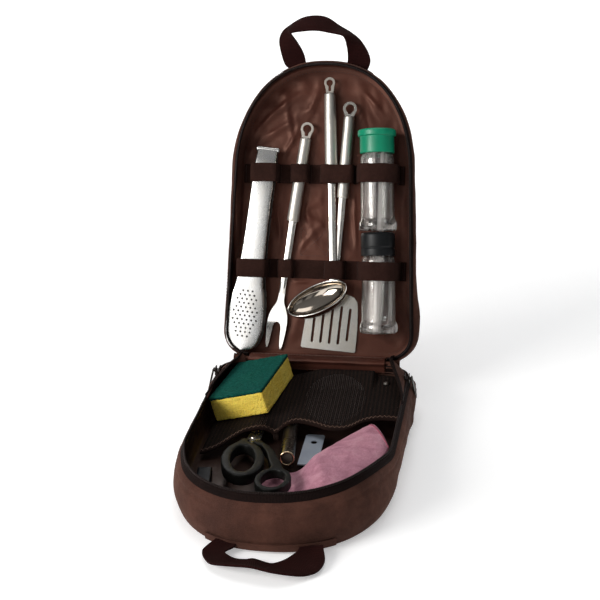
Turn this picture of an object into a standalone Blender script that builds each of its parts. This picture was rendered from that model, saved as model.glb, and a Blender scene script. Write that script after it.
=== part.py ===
"""Camping utensil storage bag, open, with its kit.

A tub-shaped canvas base and a tombstone-shaped canvas lid joined by a fabric
hinge and a zip.  Metres, +Z up.  The base stands on z = 0, the hinge line runs
along X at (y = HINGE_Y, z = RIM_Z), and the front of the bag points to -Y.
Lid pieces are modelled in the lid's own frame, x across, y from the hinge
towards the arch, z towards the inside of the bag, under an empty on the hinge.
"""
import math

import bpy
import bmesh
from mathutils import Euler, Matrix, Vector
from mathutils.geometry import tessellate_polygon

for old in list(bpy.data.objects):
    bpy.data.objects.remove(old, do_unlink=True)

# ------------------------------------------------------------------ sizes
BAG_LENGTH = 0.322          # hinge line to the front of the arch
HINGE_Y = 0.161             # the hinge line, so that y = 0 is mid base
RIM_Z = 0.044               # height of the plane in which the zip closes
LID_DEPTH = 0.032           # zip plane to the outside of the lid panel
LID_OPEN_DEG = 106.0        # how far the lid stands open from closed

HALF_WIDTH_BACK = 0.1055    # half width at the hinge end, before the corner
SIDE_TAPER = 0.035          # loss of half width per metre towards the front
CORNER_R = 0.030            # rounding of the two hinge corners
ARCH_LENGTH = 0.120         # length of the rounded front
ARCH_POWER = 2.3            # 2 is an ellipse, more is squarer

CANVAS = 0.0012
LINING = 0.0007
GAP = 0.0003

ZIP_OFFSET = 0.0048         # the zip's middle line, inside the bag's outline
COIL_HALF = 0.0012          # half the coil's thickness
COIL_CLEAR = 0.0008         # coil edge to the closing plane

BASE_FLOOR = 0.0050         # top of the lining on the base's floor
LID_FLOOR = -0.0269         # face of the lining on the lid's panel (lid z)
STRAP_T = 0.0011            # thickness of the elastic
WEBBING_W = 0.024
WEBBING_T = 0.0018


# ---------------------------------------------------------------- materials
def material(name, color, roughness, metallic=0.0, transmission=0.0):
    m = bpy.data.materials.new(name)
    m.use_nodes = True
    p = m.node_tree.nodes["Principled BSDF"]
    p.inputs["Base Color"].default_value = (*color, 1.0)
    p.inputs["Roughness"].default_value = roughness
    p.inputs["Metallic"].default_value = metallic
    p.inputs["Transmission Weight"].default_value = transmission
    return m


CANVAS_BROWN = (0.072, 0.036, 0.026)
LINING_BROWN = (0.045, 0.016, 0.012)
TAPE_BROWN = (0.018, 0.010, 0.009)
STEEL = (0.62, 0.60, 0.57)


# ------------------------------------------------------------ mesh building
def finish(name, bm, mat, parent=None, smooth=40.0):
    """Turn a bmesh into the named object, faces out, smooth but for creases."""
    bmesh.ops.remove_doubles(bm, verts=bm.verts, dist=1e-7)
    bmesh.ops.recalc_face_normals(bm, faces=bm.faces)
    me = bpy.data.meshes.new(name)
    bm.to_mesh(me)
    bm.free()
    me.shade_smooth()
    me.set_sharp_from_angle(angle=math.radians(smooth))
    me.materials.append(mat)
    ob = bpy.data.objects.new(name, me)
    bpy.context.collection.objects.link(ob)
    if parent is not None:
        ob.parent = parent
    return ob


def empty(name, location, rotation=(0, 0, 0), parent=None):
    e = bpy.data.objects.new(name, None)
    bpy.context.collection.objects.link(e)
    e.empty_display_size = 0.02
    e.location = location
    e.rotation_euler = rotation
    if parent is not None:
        e.parent = parent
    return e


def loft(rings, closed_rings=True, cap=True, wrap=False):
    """Join rings of equal length.  wrap joins the last ring to the first."""
    bm = bmesh.new()
    vs = [[bm.verts.new(p) for p in r] for r in rings]
    n = len(vs[0])
    m = len(vs)
    for k in range(m if wrap else m - 1):
        a, b = vs[k], vs[(k + 1) % m]
        for i in range(n if closed_rings else n - 1):
            j = (i + 1) % n
            bm.faces.new((a[i], a[j], b[j], b[i]))
    if cap and not wrap:
        bm.faces.new(vs[0])
        bm.faces.new(vs[-1])
    return bm


def slab(top, low):
    """A thin sheet from two grids of points, closed all round its edges."""
    bm = bmesh.new()
    t = [[bm.verts.new(p) for p in row] for row in top]
    b = [[bm.verts.new(p) for p in row] for row in low]
    m, n = len(t), len(t[0])
    for j in range(m - 1):
        for i in range(n - 1):
            bm.faces.new((t[j][i], t[j][i + 1], t[j + 1][i + 1], t[j + 1][i]))
            bm.faces.new((b[j][i], b[j + 1][i], b[j + 1][i + 1], b[j][i + 1]))
    for i in range(n - 1):
        for j in (0, m - 1):
            bm.faces.new((t[j][i], b[j][i], b[j][i + 1], t[j][i + 1]))
    for j in range(m - 1):
        for i in (0, n - 1):
            bm.faces.new((t[j][i], t[j + 1][i], b[j + 1][i], b[j][i]))
    return bm


def plate(outer, holes, thickness, place):
    """A flat plate with holes.  outer and holes are 2-D loops; place maps
    (u, v, w) to the object's frame, w running 0 to thickness."""
    loops = [outer] + list(holes)
    flat = [Vector((p[0], p[1], 0.0)) for lp in loops for p in lp]
    tris = tessellate_polygon([[Vector((p[0], p[1], 0.0)) for p in lp] for lp in loops])
    bm = bmesh.new()
    low = [bm.verts.new(place(p.x, p.y, 0.0)) for p in flat]
    top = [bm.verts.new(place(p.x, p.y, thickness)) for p in flat]
    for t in tris:
        bm.faces.new([low[i] for i in t])
        bm.faces.new([top[i] for i in reversed(t)])
    start = 0
    for lp in loops:
        n = len(lp)
        for i in range(n):
            a, b = start + i, start + (i + 1) % n
            bm.faces.new((low[a], low[b], top[b], top[a]))
        start += n
    return bm


def ellipse(cx, cy, rx, ry, n, turn=0.0, start=0.0):
    out = []
    for i in range(n):
        t = start + 2 * math.pi * i / n
        x, y = rx * math.cos(t), ry * math.sin(t)
        out.append((cx + x * math.cos(turn) - y * math.sin(turn),
                    cy + x * math.sin(turn) + y * math.cos(turn)))
    return out


def smooth_line(points, count):
    """Points along a smooth curve through the given points."""
    pts = [Vector(p) for p in points]
    ext = [2 * pts[0] - pts[1]] + pts + [2 * pts[-1] - pts[-2]]
    raw = []
    for k in range(1, len(ext) - 2):
        p0, p1, p2, p3 = ext[k - 1:k + 3]
        for i in range(12):
            t = i / 12
            raw.append(0.5 * ((2 * p1) + (p2 - p0) * t + (2 * p0 - 5 * p1 + 4 * p2 - p3) * t * t
                              + (3 * p1 - p0 - 3 * p2 + p3) * t * t * t))
    raw.append(pts[-1])
    run = [0.0]
    for a, b in zip(raw, raw[1:]):
        run.append(run[-1] + (b - a).length)
    out = []
    for i in range(count):
        want = run[-1] * i / (count - 1)
        k = max(j for j in range(len(run)) if run[j] <= want + 1e-12)
        k = min(k, len(raw) - 2)
        f = (want - run[k]) / max(run[k + 1] - run[k], 1e-12)
        out.append(raw[k].lerp(raw[k + 1], f))
    return out


def turned(profile, sides):
    """A body turned about local Y from (radius, height) pairs; a radius of 0
    closes it.  A profile that ends where it starts makes a hollow body."""
    bm = bmesh.new()
    hollow = profile[0] == profile[-1]
    pts = profile[:-1] if hollow else profile
    rings = []
    for r, h in pts:
        if r == 0:
            rings.append([bm.verts.new((0, h, 0))])
        else:
            rings.append([bm.verts.new((r * math.sin(2 * math.pi * i / sides), h,
                                        r * math.cos(2 * math.pi * i / sides)))
                          for i in range(sides)])
    pairs = list(zip(rings, rings[1:]))
    if hollow:
        pairs.append((rings[-1], rings[0]))
    for a, b in pairs:
        if len(a) == 1 and len(b) == 1:
            continue
        for i in range(sides):
            j = (i + 1) % sides
            if len(a) == 1:
                bm.faces.new((a[0], b[j], b[i]))
            elif len(b) == 1:
                bm.faces.new((a[i], a[j], b[0]))
            else:
                bm.faces.new((a[i], a[j], b[j], b[i]))
    return bm


# ------------------------------------------------------------- bag outline
def half_width(s):
    h = HALF_WIDTH_BACK - SIDE_TAPER * s
    if s < CORNER_R:
        h -= CORNER_R * (1 - math.sqrt(max(0.0, 1 - ((CORNER_R - s) / CORNER_R) ** 2)))
    v = (s - (BAG_LENGTH - ARCH_LENGTH)) / ARCH_LENGTH
    if v > 0:
        h *= max(0.0, 1 - min(v, 1.0) ** ARCH_POWER) ** (1 / ARCH_POWER)
    return h


def outline(corner=4, side=3, arch=11, back=1):
    """(x, s) points anticlockwise: right side, arch, left side, hinge edge.
    Returns the points and how many of them the zip runs along."""
    ss = [CORNER_R * (1 - math.cos(math.pi / 2 * i / corner)) for i in range(corner)]
    s0, s1 = CORNER_R, BAG_LENGTH - ARCH_LENGTH
    ss += [s0 + (s1 - s0) * i / side for i in range(side)]
    ss += [s1 + ARCH_LENGTH * math.sin(math.pi / 2 * i / arch) ** (2 / ARCH_POWER)
           for i in range(arch)]
    right = [(half_width(s), s) for s in ss]
    pts = right + [(0.0, BAG_LENGTH)] + [(-x, s) for x, s in reversed(right)]
    zip_count = len(pts)
    x0 = right[0][0]
    pts += [(-x0 + 2 * x0 * i / (back + 1), 0.0) for i in range(1, back + 1)]
    return pts, zip_count


def inset(points, d):
    """The closed anticlockwise loop moved inwards by d."""
    out = []
    n = len(points)
    for i in range(n):
        a, b, c = points[i - 1], points[i], points[(i + 1) % n]
        t0 = Vector((b[0] - a[0], b[1] - a[1])).normalized()
        t1 = Vector((c[0] - b[0], c[1] - b[1])).normalized()
        n0, n1 = Vector((-t0.y, t0.x)), Vector((-t1.y, t1.x))
        m = (n0 + n1).normalized()
        out.append((b[0] + m.x * d / max(m.dot(n0), 0.3),
                    b[1] + m.y * d / max(m.dot(n0), 0.3)))
    return out


OUT, ZIP_COUNT = outline()


def base_point(x, s, z):
    return Vector((x, HINGE_Y - s, z))


def base_ring(z, off, count=None):
    return [base_point(x, s, z) for x, s in inset(OUT, off)[:count]]


def lid_ring(d, off, count=None):
    return [Vector((x, s, d)) for x, s in inset(OUT, off)[:count]]


def tray(ring, section):
    """A tub from (height, offset) pairs: outside up to the edge, then inside."""
    return loft([ring(h, off) for h, off in section])


def rim_band(ring, section, count):
    """A band along the zip: the section's corners swept along the outline."""
    rows = [ring(h, off, count) for h, off in section]
    return loft([[row[i] for row in rows] for i in range(count)])


# ------------------------------------------------------------------- frames
lid = empty("lid_pivot", (0, HINGE_Y, RIM_Z),
            (math.radians(180 - LID_OPEN_DEG), 0, 0))

# ---------------------------------------------------------------- base half
m_canvas = material("canvas", CANVAS_BROWN, 0.85)
m_canvas_lid = material("canvas_lid", CANVAS_BROWN, 0.85)

finish("base_shell", tray(base_ring, [
    (0.0000, 0.0060), (0.0011, 0.0024), (0.0050, 0.0004), (0.0140, -0.0025),
    (0.0250, -0.0028), (0.0330, -0.0006), (RIM_Z - 0.0088, 0.0015),
    (RIM_Z - 0.0088, 0.0027), (0.0330, 0.0006), (0.0250, -0.0016),
    (0.0140, -0.0013), (0.0052, 0.0016), (0.0022, 0.0036), (CANVAS, 0.0062)]),
    m_canvas)

finish("base_pad", loft([base_ring(CANVAS + GAP, 0.0085), base_ring(0.0040, 0.0085)]),
       material("pad_foam", (0.05, 0.05, 0.05), 0.9))

finish("base_lining", tray(base_ring, [
    (0.0043, 0.0068), (0.0062, 0.0030), (0.0140, -0.0008), (0.0250, -0.0011),
    (0.0330, 0.0011), (RIM_Z - 0.0094, 0.0031),
    (RIM_Z - 0.0094, 0.0039), (0.0330, 0.0019), (0.0250, -0.0003),
    (0.0140, 0.0000), (0.0066, 0.0040), (BASE_FLOOR, 0.0076)]),
    material("lining", LINING_BROWN, 0.35))

TAPE = [(-0.0085, 0.0017), (-0.0050, 0.0042), (-0.0036, 0.0044),
        (-0.0036, 0.0052), (-0.0052, 0.0051), (-0.0085, 0.0026)]
COIL = [(-0.0033, ZIP_OFFSET - COIL_HALF), (-COIL_CLEAR, ZIP_OFFSET - COIL_HALF),
        (-COIL_CLEAR, ZIP_OFFSET + COIL_HALF), (-0.0033, ZIP_OFFSET + COIL_HALF)]

finish("base_zip_tape", rim_band(base_ring, [(RIM_Z + h, o) for h, o in TAPE], ZIP_COUNT),
       material("zip_tape", TAPE_BROWN, 0.8))
finish("base_zip_coil", rim_band(base_ring, [(RIM_Z + h, o) for h, o in COIL], ZIP_COUNT),
       material("zip_coil", (0.03, 0.018, 0.015), 0.4))

# the canvas strip that the lid turns on, along the straight of the hinge edge
HINGE_HALF = half_width(0.0) - 0.006
bm = loft([[Vector((x, HINGE_Y - s, z)) for z, s in
            [(RIM_Z - 0.0084, 0.0004), (RIM_Z - 0.0084, 0.0016),
             (RIM_Z - 0.0005, 0.0013), (RIM_Z - 0.0005, 0.0001)]]
           for x in (-HINGE_HALF, 0.0, HINGE_HALF)])
finish("hinge_fabric", bm, material("hinge_canvas", CANVAS_BROWN, 0.85))


# sponge: pale foam with a scouring face on top, tipped up on its right side
SP_L, SP_W, SP_FOAM, SP_SCOUR = 0.0915, 0.0565, 0.0218, 0.0034
SP_X = Vector((0.955, -0.128, 0.262)).normalized()
SP_UP = Vector((-0.2664, 0.0000, 0.9637))
SP_UP = (SP_UP - SP_X * SP_UP.dot(SP_X)).normalized()
SP_Y = SP_UP.cross(SP_X).normalized()
SP_C = base_point(-0.0622, 0.0570, 0.0455)


def sponge_under(x, s):
    """Height of the plane of the sponge's lower face at a place on the floor."""
    mid = SP_C - SP_UP * (SP_FOAM + SP_SCOUR + GAP)
    return mid.z - (SP_UP.x * (x - mid.x) + SP_UP.y * (HINGE_Y - s - mid.y)) / SP_UP.z


# --- net pocket over the back of the base floor
MOUTH = [(-0.105, 0.166), (-0.080, 0.159), (-0.062, 0.1380), (-0.044, 0.1260), (-0.0310, 0.1210),
         (-0.0245, 0.1190), (-0.0180, 0.1150), (-0.002, 0.1080), (0.014, 0.1130), (0.030, 0.1200),
         (0.047, 0.1170), (0.060, 0.1020), (0.068, 0.0970), (0.105, 0.0950)]
TACK_X, TACK_S = -0.0245, 0.1190


PADDLE_X = 0.0265


def paddle_height(s):
    """Underside of the paddle, whose head leans up against the back wall."""
    t = min(1.0, max(0.0, (0.1100 - s) / 0.0980))
    return 0.0066 + 0.0270 * t ** 1.4


def pocket_mouth(x):
    """How far in front of the hinge line the pocket's edge lies."""
    for (x0, a), (x1, b) in zip(MOUTH, MOUTH[1:]):
        if x0 <= x <= x1:
            t = (x - x0) / (x1 - x0)
            t = t * t * (3 - 2 * t)
            return a + (b - a) * t
    return MOUTH[-1][1]


def pocket_height(x, s):
    """Height of the net: high against the back wall, low at the mouth, pressed
    down by the sponge on the left and drawn to the floor at the tack."""
    f = min(1.0, max(0.0, (s - 0.008) / 0.125))
    z = 0.0332 - 0.0120 * f ** 0.6
    near = min(1.0, max(0.0, (0.0520 - abs(x - PADDLE_X)) / 0.0160))
    z = max(z, near * near * (3 - 2 * near) * (paddle_height(s) + 0.0042))
    pull = math.exp(-((x - TACK_X) / 0.0080) ** 2) * min(1.0, max(0.0, (s - 0.070) / 0.049)) ** 2
    z -= 0.0070 * pull
    return max(min(z, sponge_under(x, s) - 0.0007), BASE_FLOOR + 0.0012)


def net_half(s, side=1):
    """Half width of the net: to the wall, but short of it low on the left."""
    low = 0.0045 if side < 0 else 0.0
    return half_width(s) - 0.0062 - (0.0020 if s < 0.03 else 0.0) - low


NET_T = 0.0006
STATIONS = [-1.0, -0.92, -0.84, -0.76, -0.68, -0.60, -0.52, -0.44, -0.37, -0.31, -0.25, -0.19, -0.12,
            -0.04, 0.06, 0.18, 0.30, 0.42, 0.54, 0.66, 0.78, 0.90, 1.0]
NET_S = [0.0085, 0.019, 0.030, 0.045, 0.062, 0.079, 0.088]


def net_point(a, s, dz):
    x = a * net_half(s, a)
    return base_point(x, s, pocket_height(x, s) + dz)


def mouth_s(a):
    return pocket_mouth(a * 0.0955)


rows_top, rows_low = [], []
for j in range(len(NET_S) + 1):
    rows_top.append([net_point(a, NET_S[j] if j < len(NET_S) else mouth_s(a), 0.0) for a in STATIONS])
    rows_low.append([p - Vector((0, 0, NET_T)) for p in rows_top[-1]])
finish("mesh_pocket", slab(rows_top, rows_low), material("pocket_net", (0.03, 0.013, 0.010), 0.6))

section = []
for a in STATIONS:
    p = net_point(a, mouth_s(a), 0.0)
    section.append([p + Vector((0, -u, w)) for u, w in
                    [(0.0003, 0.0006), (0.0073, 0.0002), (0.0073, -0.0010), (0.0003, -0.0010)]])
finish("mesh_binding", loft(section), material("binding", TAPE_BROWN, 0.75))

# the tack that parts the pocket's two mouths, sewn to the floor
tack_top = pocket_height(TACK_X, TACK_S) - 0.0016
bm = loft([[base_point(TACK_X + x, TACK_S + 0.004 + y, z) for x, y in
            [(-0.0030, -0.0030), (0.0030, -0.0030), (0.0030, 0.0030), (-0.0030, 0.0030)]]
           for z in (BASE_FLOOR + 0.0001, max(tack_top, BASE_FLOOR + 0.0008))])
finish("pocket_tack", bm, material("tack_thread", TAPE_BROWN, 0.8))

bm = turned([(0, 0.0), (0.0032, 0.0), (0.0032, 0.0008), (0.0020, 0.0018), (0, 0.0020)], 12)
stud = finish("pocket_stud", bm, material("stud_metal", (0.5, 0.48, 0.45), 0.3, 1.0))
STUD_X, STUD_S = 0.0770, 0.0250
stud.location = base_point(STUD_X, STUD_S, pocket_height(STUD_X, STUD_S) + 0.0009)
stud.rotation_euler = (math.radians(90 + 7.5), 0, 0)

# ------------------------------------------------------------- lid half
finish("lid_shell", tray(lid_ring, [
    (-LID_DEPTH, 0.0052), (-0.0311, 0.0022), (-0.0285, 0.0002), (-0.0200, -0.0010),
    (-0.0115, -0.0003), (-0.0088, 0.0015), (-0.0088, 0.0027), (-0.0115, 0.0009),
    (-0.0200, 0.0002), (-0.0283, 0.0014), (-0.0300, 0.0032), (-LID_DEPTH + CANVAS, 0.0060)]),
    m_canvas_lid, lid)

finish("lid_pad", loft([lid_ring(-LID_DEPTH + CANVAS + GAP, 0.0080),
                        lid_ring(-0.0279, 0.0080)]),
       material("lid_pad_foam", (0.05, 0.05, 0.05), 0.9), lid)

finish("lid_lining", tray(lid_ring, [
    (-0.0276, 0.0064), (-0.0262, 0.0027), (-0.0200, 0.0006), (-0.0115, 0.0013),
    (-0.0093, 0.0031), (-0.0093, 0.0038), (-0.0115, 0.0020), (-0.0200, 0.0013),
    (-0.0255, 0.0034), (LID_FLOOR, 0.0071)]),
    material("lid_lining_satin", LINING_BROWN, 0.35), lid)

finish("lid_zip_tape", rim_band(lid_ring, TAPE, ZIP_COUNT),
       material("lid_tape", TAPE_BROWN, 0.8), lid)
finish("lid_zip_coil", rim_band(lid_ring, COIL, ZIP_COUNT),
       material("lid_coil", (0.03, 0.018, 0.015), 0.4), lid)

# patch outside the lid panel, held by the box-and-cross stitching
PATCH_X, PATCH_S, PATCH_HALF = -0.009, 0.1275, 0.0170
bm = plate([(PATCH_X - PATCH_HALF, PATCH_S - PATCH_HALF), (PATCH_X + PATCH_HALF, PATCH_S - PATCH_HALF),
            (PATCH_X + PATCH_HALF, PATCH_S + PATCH_HALF), (PATCH_X - PATCH_HALF, PATCH_S + PATCH_HALF)],
           [], 0.0014, lambda u, v, w: (u, v, -LID_DEPTH - GAP - 0.0014 + w))
finish("back_patch", bm, material("patch_webbing", TAPE_BROWN, 0.8), lid)

# ------------------------------------------------ utensils: shared places
# each: x and s of its reference point, lean of its axis in the lid's plane
TONGS_PIN = (-0.0613, 0.2270, -0.0153)
TONGS_LEAN = math.radians(-6.0)
FORK_TOP = (-0.0185, 0.2573, -0.0202)
FORK_LEAN = math.radians(-7.5)
LADLE_TOP = (0.0035, 0.3060, -0.0195)
LADLE_LEAN = math.radians(2.7)
TURNER_TOP = (0.0270, 0.2800, -0.0205)
TURNER_LEAN = math.radians(-3.2)
JAR_LEAN = math.radians(2.23)
JAR_D = LID_FLOOR + 0.0003 + 0.0206


def jar_axis_x(s):
    return 0.0660 - math.tan(JAR_LEAN) * (s - 0.0310)


def lean_x(top, lean, s):
    """x of a leaning axis at the height s (lean > 0: lower end to the right)."""
    return top[0] + math.tan(lean) * (top[1] - s)


# --------------------------------------------------- elastic straps
def strap(name, s_mid, width, bumps, x_from, x_to, mat):
    """Elastic sewn flat to the lining between loops.  bumps are
    (middle x, half width, height over the lining, corner size); a corner of 0
    gives a round loop."""
    path = [(x_from, 0.0)]
    for xc, hw, top, corner in bumps:
        path.append((xc - hw - 0.0014, 0.0))
        if corner:
            half = [(hw, 0.0012), (hw, top - corner), (hw - 0.35 * corner, top - 0.35 * corner),
                    (hw - corner, top), (0.5 * (hw - corner), top + 0.0003)]
        else:
            half = [(hw * math.cos(math.pi * i / 14) ** 0.75, top * math.sin(math.pi * i / 14) ** 0.62)
                    for i in range(1, 7)]
            half = [(hw, 0.0030)] + half
        path += [(xc - u, v) for u, v in half]
        path += [(xc, top + (0.0004 if corner else 0.0))]
        path += [(xc + u, v) for u, v in reversed(half)]
        path.append((xc + hw + 0.0014, 0.0))
    path.append((x_to, 0.0))
    low, high = [], []
    n = len(path)
    for i in range(n):
        a, b, c = path[max(i - 1, 0)], path[i], path[min(i + 1, n - 1)]
        e0 = Vector((b[0] - a[0], b[1] - a[1]))
        e1 = Vector((c[0] - b[0], c[1] - b[1]))
        e0 = (e0 if e0.length > 0 else e1).normalized()
        e1 = (e1 if e1.length > 0 else e0).normalized()
        n0, n1 = Vector((-e0.y, e0.x)), Vector((-e1.y, e1.x))
        m = (n0 + n1).normalized()
        k = STRAP_T / max(m.dot(n0), 0.55)
        low.append((b[0], LID_FLOOR + GAP + b[1]))
        high.append((b[0] + m.x * k, LID_FLOOR + GAP + b[1] + m.y * k))
    rings = []
    for s in (s_mid - width / 2, s_mid + width / 2):
        rings.append([Vector((x, s, d)) for x, d in low] +
                     [Vector((x, s, d)) for x, d in reversed(high)])
    bm = bmesh.new()
    va = [bm.verts.new(p) for p in rings[0]]
    vb = [bm.verts.new(p) for p in rings[1]]
    m2 = len(va)
    for i in range(m2):
        j = (i + 1) % m2
        bm.faces.new((va[i], va[j], vb[j], vb[i]))
    for vv in (va, vb):
        for i in range(n - 1):
            bm.faces.new((vv[i], vv[i + 1], vv[m2 - 2 - i], vv[m2 - 1 - i]))
    return finish(name, bm, mat, lid, smooth=50)


m_elastic = material("elastic", (0.022, 0.012, 0.010), 0.75)
m_elastic2 = material("elastic_lower", (0.022, 0.012, 0.010), 0.75)
STRAP_UP_S, STRAP_LOW_S, STRAP_W = 0.2015, 0.0975, 0.0205


def stem_pair_x(s):
    """Middle of the ladle's and the turner's handles at the height s."""
    return 0.5 * (lean_x(LADLE_TOP, LADLE_LEAN, s) + lean_x(TURNER_TOP, TURNER_LEAN, s)) - 0.0004


strap("strap_upper", STRAP_UP_S, STRAP_W, [
    (lean_x(TONGS_PIN, TONGS_LEAN, STRAP_UP_S), 0.0136, 0.0228, 0.0030),
    (lean_x(FORK_TOP, FORK_LEAN, STRAP_UP_S), 0.0090, 0.0146, 0.0050),
    (stem_pair_x(STRAP_UP_S), 0.0172, 0.0158, 0.0050),
    (jar_axis_x(STRAP_UP_S), 0.0220, 0.0399, 0)],
    -0.0890, 0.0880, m_elastic)
strap("strap_lower", STRAP_LOW_S, STRAP_W, [
    (lean_x(TONGS_PIN, TONGS_LEAN, STRAP_LOW_S) - 0.0003, 0.0152, 0.0234, 0.0030),
    (lean_x(FORK_TOP, FORK_LEAN, STRAP_LOW_S), 0.0072, 0.0100, 0.0025),
    (stem_pair_x(STRAP_LOW_S), 0.0094, 0.0130, 0.0030),
    (jar_axis_x(STRAP_LOW_S), 0.0220, 0.0399, 0)],
    -0.0938, 0.0925, m_elastic2)


# --------------------------------------------------------------- utensils
def blend_width(table, v):
    """Piecewise-linear lookup in (v, value) pairs, v falling."""
    for (v0, a), (v1, b) in zip(table, table[1:]):
        if v0 >= v >= v1:
            return a + (b - a) * (v0 - v) / (v0 - v1)
    return table[-1][1] if v < table[-1][0] else table[0][1]


def hanging_ring(name, length, width, parent, mat, offset_v=0.0):
    """The flat hook at the end of a handle: an oval ring with a narrow foot."""
    hl, hw = length / 2, width / 2
    outer, inner = [], []
    for i in range(20):
        t = 2 * math.pi * i / 20 - math.pi / 2
        pinch = 0.72 + 0.28 * min(1.0, max(0.0, (math.sin(t) + 1.0)))
        outer.append((hw * math.cos(t) * pinch, hl + hl * math.sin(t)))
    for i in range(14):
        t = 2 * math.pi * i / 14 - math.pi / 2
        pinch = 0.55 + 0.45 * min(1.0, max(0.0, (math.sin(t) + 0.6)))
        inner.append(((hw - 0.0022) * math.cos(t) * pinch,
                      hl + 0.0006 + (hl - 0.0030) * math.sin(t)))
    bm = plate(outer, [inner], 0.0024, lambda u, v, w: (u, v + offset_v, w - 0.0012))
    return finish(name, bm, mat, parent, smooth=50)


def tube_handle(name, top, bottom, r_top, r_bottom, parent, mat, sides=14):
    """A closed satin steel tube along local Y, from v = top down to bottom."""
    prof = [(0, top), (r_top - 0.0012, top), (r_top, top - 0.0012),
            (0.5 * (r_top + r_bottom), 0.5 * (top + bottom)),
            (r_bottom, bottom + 0.0010), (r_bottom - 0.0008, bottom), (0, bottom)]
    return finish(name, turned(prof, sides), mat, parent, smooth=50)


def stem(name, stations, parent, mat, corner=0.35):
    """A bar along local Y from (v, u, w, half width, half thickness)."""
    rings = []
    for v, u, w, hw, ht in stations:
        ring = []
        for a, b in ((1, -corner), (1, corner), (corner, 1), (-corner, 1),
                     (-1, corner), (-1, -corner), (-corner, -1), (corner, -1)):
            ring.append(Vector((u + a * hw, v, w + b * ht)))
        rings.append(ring)
    return finish(name, loft(rings), mat, parent, smooth=55)


# --- tongs: two sprung arms on a pin, perforated oval heads
tongs = empty("tongs_frame", TONGS_PIN, (0, 0, TONGS_LEAN), lid)
tongs_front = empty("tongs_front_pivot", (0, 0, 0), parent=tongs)
TONGS_LEN = 0.2190
ARM_WIDTH = [(-0.0035, 0.0098), (-0.012, 0.0106), (-0.060, 0.0108), (-0.120, 0.0124),
             (-0.147, 0.0142), (-0.160, 0.0168), (-0.178, 0.0188), (-0.192, 0.0185),
             (-0.204, 0.0160), (-0.2125, 0.0116), (-TONGS_LEN, 0.0050)]
ARM_RISE = [(-0.0035, 0.0032), (-0.012, 0.0062), (-0.030, 0.0084), (-0.120, 0.0096),
            (-0.150, 0.0100), (-TONGS_LEN, 0.0094)]
ARM_FLANGE = [(-0.0035, 0.0015), (-0.020, 0.0034), (-0.110, 0.0036), (-0.150, 0.0022),
              (-TONGS_LEN, 0.0016)]
SHEET = 0.0010


def tongs_arm(name, sign, parent, mat):
    rings = []
    for v in [a for a, _ in ARM_WIDTH]:
        hw, up, fl = (blend_width(t, v) for t in (ARM_WIDTH, ARM_RISE, ARM_FLANGE))
        crown = 0.0006
        ring = [(-hw, up - fl), (-hw, up - 0.0006), (-hw + 0.0008, up), (0, up + crown),
                (hw - 0.0008, up), (hw, up - 0.0006), (hw, up - fl),
                (hw - SHEET, up - fl), (hw - SHEET, up - SHEET),
                (0, up - SHEET + crown), (-hw + SHEET, up - SHEET), (-hw + SHEET, up - fl)]
        rings.append([Vector((u, v, sign * w)) for u, w in ring])
    return finish(name, loft(rings), mat, parent, smooth=35)


m_steel = material("polished_steel", STEEL, 0.16, 1.0)
m_satin = material("satin_steel", (0.55, 0.52, 0.48), 0.34, 1.0)
tongs_arm("tongs_rear_arm", -1, tongs, m_steel)
tongs_arm("tongs_front_arm", 1, tongs_front, m_steel)
pin = finish("tongs_pin", turned([(0, -0.0130), (0.0021, -0.0130), (0.0026, -0.0124),
                                  (0.0026, 0.0124), (0.0021, 0.0130), (0, 0.0130)], 12),
             m_satin, tongs)
pin.rotation_euler = (0, 0, math.radians(90))
# leaf spring between the arms, a bent strip below the pin
leaf = []
for i in range(9):
    t = math.pi * i / 8
    leaf.append((-0.0085 - 0.0040 * (1 - math.sin(t)) - (0.016 if i in (0, 8) else 0.0)
                 - (0.006 if i in (1, 7) else 0.0), 0.0030 * -math.cos(t)))
rings = []
for v, w in leaf:
    scale = 0.75
    rings.append([Vector((u, v, w * 1.0)) for u in (-0.005, 0.005)]
                 + [Vector((u, v - 0.0005, w * scale)) for u in (0.005, -0.005)])
finish("tongs_spring", loft(rings), m_satin, tongs)

# --- fork
fork = empty("fork_frame", FORK_TOP, (0, 0, FORK_LEAN), lid)
hanging_ring("fork_hook", 0.0180, 0.0140, fork, m_satin, -0.0180)
tube_handle("fork_handle", -0.0184, -0.1085, 0.0058, 0.0066, fork, m_satin)
stem("fork_stem", [(-0.1088, 0, -0.0010, 0.0044, 0.0021), (-0.150, 0, -0.0030, 0.0040, 0.0019),
                   (-0.1855, 0, -0.0042, 0.0036, 0.0016), (-0.1870, 0, -0.0042, 0.0030, 0.0010)],
     fork, m_steel)


def fork_outline():
    """Half outlines of a two-pronged fork, from its neck to the points."""
    right = [(0.0034, -0.1873), (0.0042, -0.1980), (0.0080, -0.2065), (0.0104, -0.2130),
             (0.0112, -0.2220), (0.0108, -0.2360), (0.0094, -0.2480), (0.0078, -0.2510),
             (0.0058, -0.2480), (0.0046, -0.2360), (0.0042, -0.2270), (0.0028, -0.2225),
             (0.0, -0.2210)]
    return right + [(-u, v) for u, v in reversed(right[:-1])]


def fork_place(u, v, w):
    curve = 0.0016 * math.sin(math.pi * min(1.0, max(0.0, (-0.1873 - v) / 0.0640)))
    return (u, v, -0.0052 + w + curve)


finish("fork_head", plate(fork_outline(), [], 0.0016, fork_place), m_steel, fork, smooth=35)

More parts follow.
